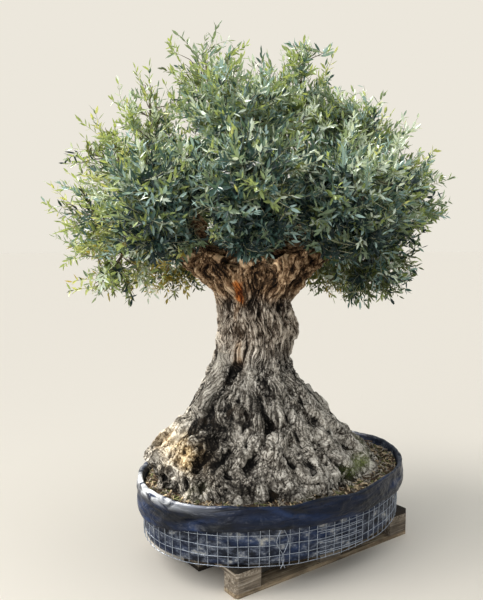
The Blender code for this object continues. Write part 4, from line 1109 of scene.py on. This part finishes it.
def grow_mass(row, seed, stem):
    """Branches and sprays of one mass, each (path, radius at foot and tip).

    The branches leave the stem for points spread evenly over the room's edge. Sprays then leave the
    branches for points spread through the room, mostly its outer part."""
    rng = random.Random(seed)
    space = Space(row)
    path = stem[0]
    forward = (path[-1] - path[1]).normalized()
    size = (row[3] * row[3] * row[4]) ** (1 / 3) / USUAL_SIZE
    droop = -1.0 if row[0].endswith("lower") else 1.0
    branches = []
    count = int(round((12 + 10 * row[5]) * size**2))
    for even in [*even_directions(count, rng.uniform(0, 2 * math.pi)), forward]:
        direction = (even + random_vector(rng) * 0.22).normalized()
        from_share = 0.60 + 0.36 * direction.dot(forward) + rng.uniform(-0.1, 0.1)
        foot = path_point(path, min(max(from_share, 0.2), 0.98))[0]
        tip = space.centre + direction * space.reach(direction) * rng.uniform(0.66, 0.84)
        way = tip - foot
        if way.length < SHORTEST_BRANCH:
            continue
        lift = Vector((0, 0, 1)) * (0.10 if direction.z > -0.3 else 0.18)
        bend = foot + way * 0.5 + (lift + random_vector(rng) * 0.12) * way.length
        branch = bent_path(foot, bend, tip, TWIG_STEPS)
        for k in range(1, TWIG_STEPS - 1):
            branch[k] += random_vector(rng) * 0.012
        branches.append((branch, 0.0030 + 0.0085 * min(way.length, 0.5), BRANCH_TIP))
    stations = [path_point(branch, share) for branch, _, _ in branches for share in STATIONS]
    spots, ways = (np.array([station[k] for station in stations]) for k in (0, 1))
    sprays = []
    count = int(round(SPRAYS * row[5] * size**2))
    for even in even_directions(count, rng.uniform(0, 2 * math.pi)):
        direction = (even + random_vector(rng) * 0.10).normalized()
        if direction.z > -0.1 and rng.random() < SPARSE_TOPS.get(row[0], 0.0):
            continue
        share = rng.uniform(0.25, 1.0) ** 0.5
        if rng.random() < LONG_SHOOTS and direction.z > -0.35:
            share = rng.uniform(1.04, 1.24)
        tip = space.centre + direction * space.reach(direction) * share
        to_tip = np.array(tip) - spots
        far = np.linalg.norm(to_tip, axis=1)
        rising = np.clip(-to_tip[:, 2] * droop, 0, 1)
        cost = np.abs(far - rng.uniform(0.13, 0.25)) - 0.30 * (to_tip * ways).sum(axis=1) + 0.5 * rising
        best = int(np.argmin(cost))
        root, heading = Vector(spots[best]), Vector(ways[best])
        length = (tip - root).length
        if length < SHORTEST_SPRAY:
            continue
        bend = root + heading * length * 0.32 + (tip - root) * 0.20 + random_vector(rng) * length * 0.12
        bend.z -= 0.10 * length * droop
        sprays.append((bent_path(root, bend, tip, TWIG_STEPS), 0.0011 + 0.0042 * min(length, 0.3), SPRAY_TIP))
    for name, spot, radius, extra in JOINS:
        if name != row[0]:
            continue
        for direction in even_directions(extra, 0.0):
            tip = at(*spot) + direction * radius * rng.uniform(0.3, 1.0)
            far = np.linalg.norm(spots - np.array(tip), axis=1)
            root = Vector(spots[int(np.argmin(np.abs(far - 0.16)))])
            bend = root.lerp(tip, 0.5) + random_vector(rng) * 0.02
            sprays.append((bent_path(root, bend, tip, TWIG_STEPS), JOIN_FOOT, SPRAY_TIP))
    return space, branches, sprays


def in_joins(points):
    inside = np.zeros(len(points), bool)
    for _, spot, radius, _ in JOINS:
        inside |= np.linalg.norm(points - np.array(at(*spot)), axis=1) < radius * 1.2
    return inside


def inside_box(points, slack):
    """Which points stay in the solids' box, or out of it by less than the slack."""
    low, high = np.array(cad_low) - slack, np.array(cad_high) + slack
    return ((points > low) & (points < high)).all(axis=1)


def in_the_open(points):
    """Where no leaves hang in front: at the head of the trunk and in the window."""
    middle = at(*BARE_MIDDLE)
    round_far = np.hypot(points[:, 0] - middle.x, points[:, 1] - middle.y)
    right, away, up = from_front(points)
    head = (round_far < BARE_HEAD) & (away < 0.10) & (up < BARE_TOP)
    window = np.hypot(right - WINDOW[0], (up - WINDOW[1]) * 0.8) < WINDOW_RADIUS
    return head | (window & (away < -0.22))


def leaves_on(space, paths, rng):
    """Opposite pairs of leaves along each path of an (s, p, 3) array. Returns the leaves as arrays."""
    count, steps = paths.shape[:2]
    lengths = np.linalg.norm(np.diff(paths, axis=1), axis=2).sum(axis=1)
    bare = np.clip(1 - LEAFY_LENGTH / lengths, 0.10, 1)[:, None]
    pairs = np.arange(LEAF_PAIRS)[None]
    shares = (pairs + rng.uniform(0.2, 0.8, (count, LEAF_PAIRS))) / LEAF_PAIRS
    s = (bare + (1 - bare) * shares) * (steps - 1)
    low = np.clip(s.astype(int), 0, steps - 2)
    t = (s - low)[..., None]
    rows = np.arange(count)[:, None]
    place = paths[rows, low] * (1 - t) + paths[rows, low + 1] * t
    ahead = unit(paths[rows, low + 1] - paths[rows, low])
    side, other = across_of(ahead, ahead)
    turn = rng.uniform(0, 2 * np.pi, (count, 1)) + pairs * (np.pi / 2)
    turn = turn + rng.normal(0, 0.35, (count, LEAF_PAIRS))
    gap = lengths[:, None] * (1 - bare) / LEAF_PAIRS
    skip = (gap < PAIR_GAP) & (pairs % 2 == 0)
    out = []
    for flip in (0.0, np.pi):
        across = side * np.cos(turn + flip)[..., None] + other * np.sin(turn + flip)[..., None]
        lean = np.radians(rng.uniform(22, 68, (count, LEAF_PAIRS)))[..., None]
        way = ahead * np.cos(lean) + across * np.sin(lean)
        way += rng.normal(0, 0.20, way.shape)
        way[..., 2] += np.where(place[..., 2] > 1.9, 0.28, 0.06)
        way = unit(way)
        face = unit(np.cross(np.cross(way, ahead), way))
        face = unit(face + rng.normal(0, 0.40, face.shape) + np.array([0, 0, 0.35]))
        taper = (1.12 - 0.42 * shares) * rng.uniform(0.70, 1.15, (count, LEAF_PAIRS))
        out.append((place, way, face, np.where(skip, 0.0, LEAF_LENGTH * taper), rows + 0 * skip))
    # One leaf goes straight on from the end of the spray.
    end_way = unit(paths[:, -1] - paths[:, -2])[:, None]
    end_way = unit(end_way + rng.normal(0, 0.22, end_way.shape))
    end_face = unit(rng.normal(0, 1, end_way.shape))
    out.append((paths[:, -1:], end_way, end_face, LEAF_LENGTH * rng.uniform(0.6, 0.9, (count, 1)), rows))
    flat = [np.concatenate([part[k].reshape(-1, 3) for part in out]) for k in range(3)]
    flat += [np.concatenate([part[k].reshape(-1) for part in out]) for k in (3, 4)]
    tip = flat[0] + flat[1] * flat[3][:, None]
    keep = space.holds(tip, 1.30, 1.14)
    keep &= (flat[3] > 0) & (rng.uniform(0, 1, len(tip)) < LEAVES_KEPT)
    keep &= inside_box(tip, 0.018) & ~in_the_open(tip)
    return [part[keep] for part in flat]


def leaf_mesh(place, way, face, length, rng):
    """Seven points and six faces a leaf: a narrow blade round a sunken midrib, that bends back."""
    across = unit(np.cross(way, face))
    lift = np.cross(across, way)
    curl = rng.normal(0.10, 0.14, len(length))
    half = LEAF_WIDTH / 2 * rng.uniform(0.75, 1.2, len(length)) * (length / LEAF_LENGTH) ** 0.6
    rim = len(LEAF_OUTLINE)
    verts = np.empty((len(length), rim + 1, 3))
    for k, (t, width) in enumerate((*LEAF_OUTLINE, MIDRIB)):
        sink = half * MIDRIB_SUNK if k == rim else 0 * half
        flat = place + way * (length * t)[:, None] + across * (half * width)[:, None]
        verts[:, k] = flat - lift * (curl * length * t * t + sink)[:, None]
    first = np.arange(len(length))[:, None] * (rim + 1)
    faces = np.stack([first + np.array((k, (k + 1) % rim, rim)) for k in range(rim)], axis=1)
    return verts.reshape(-1, 3), faces.reshape(-1, 3)


def shade_of(places, rng):
    """Which colour each spray takes, as painted light and shade: bluer in the shade low in front,
    yellow-green where the sun falls up and round, gold as backlight under the back.
    """
    right, away, up = from_front(places)
    x = (right + 0.23) / 1.05
    high, front = climb(up, 1.90, 0.50), climb(away, 0.05, -0.55)
    left, right_side = climb(x, -0.20, -0.50), climb(x, 0.20, 0.50)
    rim = np.clip(np.hypot(x, (up - 1.75) / 0.95) - 0.62, 0, 0.4) / 0.4
    under = climb(up, 1.76, -0.22) * climb(away, 0.05, 0.3)
    middle = np.clip(front * (1 - high) * (1 - left * 0.7), 0, 1)
    low_left = climb(up, 1.70, -0.25) * climb(x, 0.05, -0.3)
    sunny = np.clip(left + high * 0.6 + rim, 0, 1)
    low_right = climb(up, 1.72, -0.16) * right_side
    low_front = climb(up, 1.84, -0.15) * front
    bright_side = right_side * climb(up, 1.72, 0.25)
    # Painted light and shade by place: teals in the front shade, pale, fresh and yellow where the sun falls,
    # gold and olive low and under.
    weights = np.stack([  # in the order of LEAF_COLOURS
        0.04 + 0.9 * middle * (1 - 0.7 * low_left) * (1 - 0.6 * bright_side) + 2.2 * low_front * (1 - left),
        0.10 + 1.0 * middle * (1 - 0.7 * low_left) * (1 - 0.4 * bright_side) + 0.10 * high * (1 - left),
        0.10 + 0.55 * middle * (1 - 0.7 * low_left) + 0.40 * high * (1 - left) + 0.20 * right_side,
        0.60 + 0.5 * high + 0.4 * right_side,
        0.08 + 1.20 * bright_side + 0.45 * high + 0.30 * middle * (1 - low_front) + 0.25 * left,
        0.18 + 1.1 * sunny * (1 - middle * 0.7) + 0.6 * bright_side,
        0.02 + 0.40 * sunny * (left + right_side * high) + 0.30 * high * left + 0.3 * low_left,
        0.00 + 2.6 * under * (1 - 0.8 * right_side) + 0.8 * low_left,
        0.12 + 2.6 * low_right + 0.6 * under + 0.5 * low_left,
    ], axis=1)
    weights /= weights.sum(axis=1, keepdims=True)
    pick = rng.uniform(0, 1, len(places))
    return (weights.cumsum(axis=1) < pick[:, None]).sum(axis=1).clip(0, len(LEAF_COLOURS) - 1)


def paths_and_radii(twigs):
    paths = np.array([path for path, _, _ in twigs])
    return paths, np.array([np.linspace(foot, tip, TWIG_STEPS) for _, foot, tip in twigs])


def make_foliage(stems):
    """Leaves and twigs, one piece of each for every group of masses."""
    leaf_kinds = [leaf_material("leaf_" + name, *pair) for name, pair in LEAF_COLOURS.items()]
    bark_twig = twig_material("twig_bark", (52, 40, 30), (110, 94, 76))
    pale_twig = twig_material("twig_shoot", (120, 124, 96), (186, 184, 152))
    seeded = {row[0]: (row, seed) for seed, row in enumerate(MASSES, 1)}
    pieces = []
    for group, members in FOLIAGE_GROUPS.items():
        branches_here, sprays_here, leaves = [], [], Parts()
        for name in members:
            row, seed = seeded[name]
            space, branches, sprays = grow_mass(row, seed, stems[name])
            rng = np.random.default_rng(seed)
            stem_path, stem_radii = stems[name]
            tail_radii = np.interp(np.linspace(2, 4, TWIG_STEPS), range(5), stem_radii)
            if name == "mass_sprig":
                tail_radii = np.minimum(tail_radii, np.linspace(*SPRIG_RADII, TWIG_STEPS))
            branches_here.append((np.array([smooth_path(stem_path[2:], TWIG_STEPS)]), tail_radii[None]))
            branches_here.append(paths_and_radii(branches))
            paths, radii = paths_and_radii(sprays)
            ends = paths[:, -1]
            keep = space.holds(ends, 1.25, 1.08) & inside_box(ends, 0.010)
            keep &= ~in_the_open(paths[:, 2]) | (ends[:, 2] > BARE_TOP + 0.25)
            paths = paths[keep]
            sprays_here.append((paths, radii[keep]))
            place, way, face, length, spray = leaves_on(space, paths, rng)
            shade = shade_of(paths.mean(axis=1), rng)[spray]
            odd = rng.uniform(0, 1, len(shade))
            shade = np.where(odd < ODD_LEAVES, shade_of(place, rng), shade)
            verts, faces = leaf_mesh(place, way, face, length, rng)
            leaves.add(verts, faces, np.repeat(shade, len(LEAF_OUTLINE)))
        leaves = leaves.build(f"leaves_{group}", leaf_kinds, smooth=False)
        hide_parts(*members)
        twigs = Parts()
        for kind, here in enumerate((branches_here, sprays_here)):
            twigs.add(*tubes(*(np.concatenate(each) for each in zip(*here)), TWIG_SIDES), kind)
        pieces += [leaves, twigs.build(f"twigs_{group}", [bark_twig, pale_twig])]
    return pieces


# --- Root ball ---

WALL_BATTER = (1 - BALL_FOOT_SHARE) * BALL_HALF_WIDTH  # how far the wall comes in from top to foot
OVAL_STEPS = 4001  # for measuring along the outline
SHEET_COLUMNS, COLLAR_STEPS, WALL_STEPS = 620, 22, 12
RIM_DROP, HEM_LEVEL, HEM_AT_ENDS = 0.010, 0.338, 0.050  # the collar hangs lower at the ball's ends
WALL_OUT, WALL_UNDER_WIRE, FILM = -0.0175, 0.001, 0.0012
FOOT_OUT = -0.0185 - 0.0089
MESH_PITCH, LEVEL_WIRES, UPRIGHTS, WIRE_SIDES = 0.050, 5, 88, 5
MESH_OUT = -0.0125  # how far the wires lie inside the ball's outline
LEVEL_RADIUS, UPRIGHT_RADIUS, TIE_RADIUS = 0.0017, 0.0016, 0.0015
LAP_FROM, LAP_TO, LAP_STEPS = math.radians(-105), math.radians(-84), 14
TIES, TIE_STEPS, TIE_LENGTH = ((-119.4, 0.020), (-117.6, -0.017)), 26, 0.195  # bearing and sway of each
SOIL_COLUMNS, SOIL_RINGS, SOIL_SIDE = 300, 34, (0.156, 0.24, 0.34)
CHIPS, CHIP_KINDS = 1500, (0.35, 0.3, 0.2, 0.15)
CHIP_CORNERS = ((-1, -1), (-1, 1), (1, 0.6), (1, -0.7))
CHIP_FACES = ((0, 3, 2, 1), (4, 5, 6, 7), (0, 1, 5, 4), (1, 2, 6, 5), (2, 3, 7, 6), (3, 0, 4, 7))


def oval(angle, out):
    """A point on the ball's outline, moved out square to it."""
    x = BALL_HALF_LENGTH * np.cos(angle)
    y = BALL_HALF_WIDTH * np.sin(angle)
    nx, ny = np.cos(angle) / BALL_HALF_LENGTH, np.sin(angle) / BALL_HALF_WIDTH
    size = np.hypot(nx, ny)
    return x + nx / size * out + BALL_CENTRE[0], y + ny / size * out + BALL_CENTRE[1]


def even_angles(count):
    """Angles at even steps along the oval's outline."""
    fine = np.linspace(0, 2 * np.pi, OVAL_STEPS)
    x, y = BALL_HALF_LENGTH * np.cos(fine), BALL_HALF_WIDTH * np.sin(fine)
    run = np.concatenate([[0], np.cumsum(np.hypot(np.diff(x), np.diff(y)))])
    return np.interp(np.arange(count) / count * run[-1], run, fine)


def smaller_oval(angle, share, along, across, height):
    """Points inside the ball, at these shares of its half length and half width."""
    x = BALL_CENTRE[0] + BALL_HALF_LENGTH * share * along * np.cos(angle)
    y = BALL_CENTRE[1] + BALL_HALF_WIDTH * share * across * np.sin(angle)
    return np.stack([x, y, np.broadcast_to(height, x.shape)], axis=-1)


def make_liner():
    """The sheet: a wall that bulges a little through the mesh, and its edge folded out as a collar."""
    angles = even_angles(SHEET_COLUMNS)
    zeros = np.zeros(SHEET_COLUMNS)
    rows, dust = [], []

    def row(height, out, dusty):
        rows.append(np.stack([*oval(angles, out + zeros), height + zeros], axis=-1))
        dust.append(np.full(SHEET_COLUMNS, dusty))

    def folds(height, across, down, octaves, seed, gain=0.5):
        """Noise whose folds run round the sheet, or down it, as the scales across and down say."""
        x, y = oval(angles, 0)
        spots = np.stack([x * across, y * across, (height + zeros) * down], axis=-1)
        return fractal(spots, octaves, seed, gain)

    def wrinkle(height, scale, seed, size):
        return (folds(height, scale, scale, 4, seed) - 0.5) * size

    rim = LINER_TOP - RIM_DROP + 0.030 * (folds(0, 5.0, 5.0, 4, 9) - 0.5)
    hem = HEM_LEVEL + 0.050 * (folds(0, 3.0, 3.0, 4, 13) - 0.5)
    hem = hem - HEM_AT_ENDS * climb(np.abs(np.cos(angles)), 0.86, 0.14)
    # Inside face, from the soil up to the rim.
    for t in np.linspace(0, 1, 5):
        height = SOIL_LEVEL - 0.02 + (rim - SOIL_LEVEL + 0.02) * t
        row(height, -0.022 + 0.008 * t + wrinkle(height, 8.0, 3, 0.008), 0.5)
    row(rim + 0.005, -0.008, 0.15)
    row(rim + 0.006, -0.001, 0.1)
    # The collar, from the rim down to its hem, then back up inside it.
    for k in range(COLLAR_STEPS + 1):
        t = k / COLLAR_STEPS
        height = rim + 0.002 + (hem - rim) * t
        free = math.sin(math.pi * min(t * 0.9 + 0.1, 1.0)) * 0.8 + 0.2
        long_folds = np.abs(folds(height, 4.0, 17.0, 3, 21, 0.4) - 0.5) * -0.060
        pleated = np.clip(folds(height, 2.0, 2.0, 3, 35, 0.4) * 4 - 1.6, 0, 1)
        pleats = (folds(height, 13.0, 3.0, 3, 33, 0.4) - 0.5) * 0.020 * pleated
        crumple = np.abs(folds(height, 10.0, 22.0, 3, 51, 0.4) - 0.5) * -0.010
        row(height, 0.010 + 0.006 * t + free * (long_folds + pleats + crumple + 0.006), 0.01 + 0.05 * t)
    row(hem + 0.002, 0.008, 0.4)
    row(hem + 0.03, -0.002, 0.4)
    # The wall behind the wire.
    for k in range(WALL_STEPS + 1):
        t = k / WALL_STEPS
        height = hem + 0.025 + (HEEL - hem - 0.025) * t
        bulge = np.minimum(wrinkle(height, 7.0, 41, 0.012), WALL_UNDER_WIRE)
        row(height, WALL_OUT - WALL_BATTER * t + bulge, 0.75 + 0.25 * t)
    row(0.156, FOOT_OUT - 0.004, 1.0)
    row(PALLET_HEIGHT + 0.001, FOOT_OUT - 0.030, 1.0)
    row(PALLET_HEIGHT + 0.001, -0.25, 1.0)
    verts = np.concatenate(rows)
    faces = ring_faces(len(rows), SHEET_COLUMNS)[:, ::-1]
    liner = mesh_object("liner_sheet", verts, faces, [liner_material()])
    face_outward(liner.data)
    store(liner.data, "dust", np.concatenate(dust))
    angle = np.arctan2(verts[:, 1] - BALL_CENTRE[1], verts[:, 0] - BALL_CENTRE[0])
    from_end = (angle - SUNLIT_END + np.pi) % (2 * np.pi) - np.pi
    # Painted sun glare on the rim at the sunlit end of the ball.
    store(liner.data, "sun_glare", climb(verts[:, 2], 0.395, 0.04) * np.exp(-((from_end / 0.34) ** 2)))
    liner.modifiers.new("film", "SOLIDIFY").thickness = FILM
    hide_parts("liner")
    return liner


def make_mesh_basket():
    """Welded mesh of 50 mm squares round the ball, with an overlap, tie wires and cut ends."""
    rng = np.random.default_rng(4)
    levels = [PALLET_HEIGHT + 0.004 + MESH_PITCH * k for k in range(LEVEL_WIRES)]
    wires = Parts()

    def add(paths, radius):
        paths = np.array(paths, float)
        wires.add(*tubes(paths, np.full(paths.shape[:2], radius), WIRE_SIDES))

    def batter(height):
        return WALL_BATTER * (LINER_TOP - height) / (LINER_TOP - HEEL)

    fine = np.linspace(0, 2 * np.pi, 241)
    for level in levels:
        sag = 0.0022 * np.sin(fine * 7 + level * 40) + 0.0015 * np.sin(fine * 17 + level * 90)
        x, y = oval(fine, MESH_OUT - batter(level) + 0.001 * np.sin(fine * 11 + level * 60))
        add([np.stack([x, y, level + sag], axis=-1)], LEVEL_RADIUS)
    low, high = levels[0] - 0.002, levels[-1] + 0.004
    uprights = []
    for angle in even_angles(UPRIGHTS):
        lean, path = rng.normal(0, 0.003), []
        for t in np.linspace(0, 1, 6):
            height = low + (high - low) * t
            x, y = oval(angle + lean * t / 0.7, MESH_OUT - batter(height) + 0.0024 + rng.normal(0, 0.0008))
            path.append((x, y, height))
        uprights.append(path)
    add(uprights, UPRIGHT_RADIUS)
    # A second length of mesh laps over the first to the right of the front.
    for level in levels[1:4]:
        for k in range(2):
            span = np.linspace(LAP_FROM + 0.02 * k, LAP_TO, LAP_STEPS)
            drop = 0.010 + 0.010 * k + 0.012 * (span - span[0])
            add([np.stack([*oval(span, MESH_OUT + 0.0035), level - drop], axis=-1)], UPRIGHT_RADIUS)
    # Tie wires, twisted round an upright a little to the right of the nearest point.
    for bearing, sway in TIES:
        path = []
        for k in range(TIE_STEPS):
            t = k / (TIE_STEPS - 1)
            angle = math.radians(bearing) + sway * math.sin(t * 7.0) * 1.2
            x, y = oval(angle, MESH_OUT + 0.004 + 0.002 * math.sin(t * 19))
            path.append((x, y, low - 0.006 + TIE_LENGTH * t))
        add([path], TIE_RADIUS)
    basket = wires.build("wire_mesh", [wire_material()])
    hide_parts("wire_basket")
    return basket


def make_soil():
    """Crumbly soil inside the sheet, its top a little uneven."""
    angles = even_angles(SOIL_COLUMNS)
    shares = np.linspace(1.0, 0.25, SOIL_RINGS)
    top = np.concatenate([smaller_oval(angles, share, 0.966, 0.958, SOIL_LEVEL) for share in shares])
    rise = (fractal(top * 14.0, 4, 3) - 0.5) * 0.030 + (fractal(top * 60.0, 3, 8) - 0.5) * 0.014
    top[:, 2] += rise + 0.004
    side = [smaller_oval(angles, 1, 0.955, 0.945, height) for height in SOIL_SIDE]
    faces = ring_faces(SOIL_RINGS + len(side), SOIL_COLUMNS)
    soil = mesh_object("soil", np.concatenate([*side, top]), faces, [soil_material()])
    face_outward(soil.data, fill=True)
    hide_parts("root_ball_soil")
    return soil


def make_litter():
    """Chips of wood, bits of root and dry leaves on the soil."""
    rng = np.random.default_rng(12)
    angle = rng.uniform(0, 2 * np.pi, CHIPS)
    share = 0.955 * np.sqrt(rng.uniform(0.66, 1.0, CHIPS))
    place = smaller_oval(angle, share, 1, 1, SOIL_LEVEL + rng.uniform(0.004, 0.022, CHIPS))
    way = unit(rng.normal(0, 1, (CHIPS, 3)) * np.array([1, 1, 0.35]))
    length = rng.uniform(0.010, 0.045, CHIPS)
    width = rng.uniform(0.002, 0.008, CHIPS)
    across = unit(np.cross(way, rng.normal(0, 1, (CHIPS, 3)) * 0.5 + np.array([0, 0, 1])))
    thick = np.cross(across, way) * (width * 0.35)[:, None]
    corners = []
    for level in (-1, 1):
        for end, side in CHIP_CORNERS:
            edge = place + way * (end * length / 2)[:, None] + across * (side * width / 2)[:, None]
            corners.append(edge + thick * level)
    first = np.arange(CHIPS)[:, None] * len(corners)
    faces = np.stack([first + np.array(face) for face in CHIP_FACES], axis=1).reshape(-1, 4)
    kinds = rng.choice(4, CHIPS, p=CHIP_KINDS)
    materials = [
        twig_material("chip_pale", (124, 106, 80), (190, 172, 140)),
        twig_material("chip_grey", (84, 78, 68), (150, 142, 128)),
        twig_material("chip_dark", (46, 34, 24), (98, 76, 54)),
        twig_material("chip_green", (50, 56, 28), (104, 106, 58)),
    ]
    verts = np.stack(corners, axis=1).reshape(-1, 3)
    return mesh_object("litter", verts, faces, materials, np.repeat(kinds, len(CHIP_FACES)), smooth=False)


# --- Pallet ---


def dress_pallet():
    pale = ((66, 53, 40), (138, 121, 98), (206, 190, 162))
    worn = ((52, 44, 37), (122, 111, 97), (204, 194, 178))
    shaded = ((20, 17, 14), (38, 33, 27), (62, 54, 45))
    kinds = {
        "along": wood_material("board_along", 0, pale, 0.75),
        "across": wood_material("board_across", 1, worn, 0.75),
        "block": wood_material("block_wood", 0, worn, 0.8),
        "shade_painted": wood_material("shade_painted_wood", 0, shaded, 0.6),
    }
    for name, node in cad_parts.items():
        if not name.startswith("pallet_"):
            continue
        kind = "block" if "_block_" in name else "across" if "_stringer_" in name else "along"
        # The deck and the middle pieces, seen only through the gaps, take near-black wood: painted shade.
        if "_deck_" in name or ("_middle" in name and name != "pallet_block_middle_left"):
            kind = "shade_painted"
        node.data.materials.clear()
        node.data.materials.append(kinds[kind])


# --- Stage ---

WHITE, WARM_WHITE = (1.0, 0.99, 0.97), (1.0, 0.95, 0.86)
SKY, SKY_STRENGTH, BACKDROP = (0.92, 0.97, 1.0), 0.54, (236, 231, 220)
FLOOR_PAINT, FLOOR_HALF, FLOOR_LEVEL = (0.885, 0.82, 0.725), 120.0, -0.0005


def aim(obj, direction):
    obj.rotation_mode = "QUATERNION"
    obj.rotation_quaternion = direction.to_track_quat("-Z", "Y")


def make_camera():
    data = bpy.data.cameras.new("camera")
    data.lens, data.sensor_width, data.clip_end = LENS, 36.0, 300.0
    camera = show("camera", data)
    camera.location = at(*CAMERA_PLACE)
    aim(camera, at(0, math.cos(CAMERA_PITCH), -math.sin(CAMERA_PITCH)))
    bpy.context.scene.camera = camera


def make_sun(name, come_from, strength, colour, angle):
    """A distant light that comes from (right, away, up)."""
    data = bpy.data.lights.new(name, "SUN")
    data.energy, data.color, data.angle = strength, colour, math.radians(angle)
    light = show(name, data)
    aim(light, -at(*come_from))
    return light


def make_panel(name, place, target, size, power):
    """A square soft light at one (right, away, up), aimed at another."""
    data = bpy.data.lights.new(name, "AREA")
    data.energy, data.size = power, size
    light = show(name, data)
    light.location = at(*place)
    aim(light, at(*target) - at(*place))


def make_world():
    """Soft light from all round, and a pale backdrop where the camera sees it."""
    world = bpy.data.worlds.new("world")
    bpy.context.scene.world = world
    world.use_nodes = True
    nodes, links = world.node_tree.nodes, world.node_tree.links
    fill, seen = nodes["Background"], nodes.new("ShaderNodeBackground")
    for node, colour, strength in ((fill, SKY, SKY_STRENGTH), (seen, srgb(*BACKDROP), 1.0)):
        node.inputs["Color"].default_value = (*colour, 1.0)
        node.inputs["Strength"].default_value = strength
    path, both = nodes.new("ShaderNodeLightPath"), nodes.new("ShaderNodeMixShader")
    links.new(path.outputs["Is Camera Ray"], both.inputs["Fac"])
    links.new(fill.outputs["Background"], both.inputs[1])
    links.new(seen.outputs["Background"], both.inputs[2])
    links.new(both.outputs["Shader"], nodes["World Output"].inputs["Surface"])


def make_stage():
    bm = bmesh.new()
    bmesh.ops.create_grid(bm, x_segments=1, y_segments=1, size=FLOOR_HALF)
    mesh = bpy.data.meshes.new("floor")
    bm.to_mesh(mesh)
    bm.free()
    mesh.materials.append(Nodes("floor_paint").finish(FLOOR_PAINT, 1.0, Specular_IOR_Level=0.0))
    floor = show("floor", mesh)
    floor.location.z = FLOOR_LEVEL
    make_world()
    key = make_sun("key", (-0.52, 0.26, 0.80), 7.5, WARM_WHITE, 3.0)
    front = make_sun("front", (-0.25, -0.85, 0.50), 1.15, WHITE, 50.0)
    only = bpy.data.collections.new("key_leaves_out")
    only.objects.link(floor)
    only.collection_objects[0].light_linking.link_state = "EXCLUDE"
    for light in (key, front):
        light.light_linking.receiver_collection = only
    make_sun("soft", (-0.60, -0.12, 0.80), 1.25, WHITE, 34.0)
    make_sun("top", (0.34, 0.10, 0.92), 0.42, WHITE, 50.0)
    make_panel("panel", (-2.3, -3.0, 2.3), (-0.3, 0.0, 0.45), 1.4, 40.0)
    bpy.context.scene.view_settings.view_transform = "Standard"


# --- Assembly ---

make_camera()
make_stage()
limbs = limb_layout()
stems = stem_layout(limbs)
bark = make_bark(limbs, stems)
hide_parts("trunk", *limbs)
foliage = make_foliage(stems)
liner, basket, soil, litter = make_liner(), make_mesh_basket(), make_soil(), make_litter()
dress_pallet()
for piece in (bark, *foliage, liner, basket, soil, litter):
    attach(piece, "root")
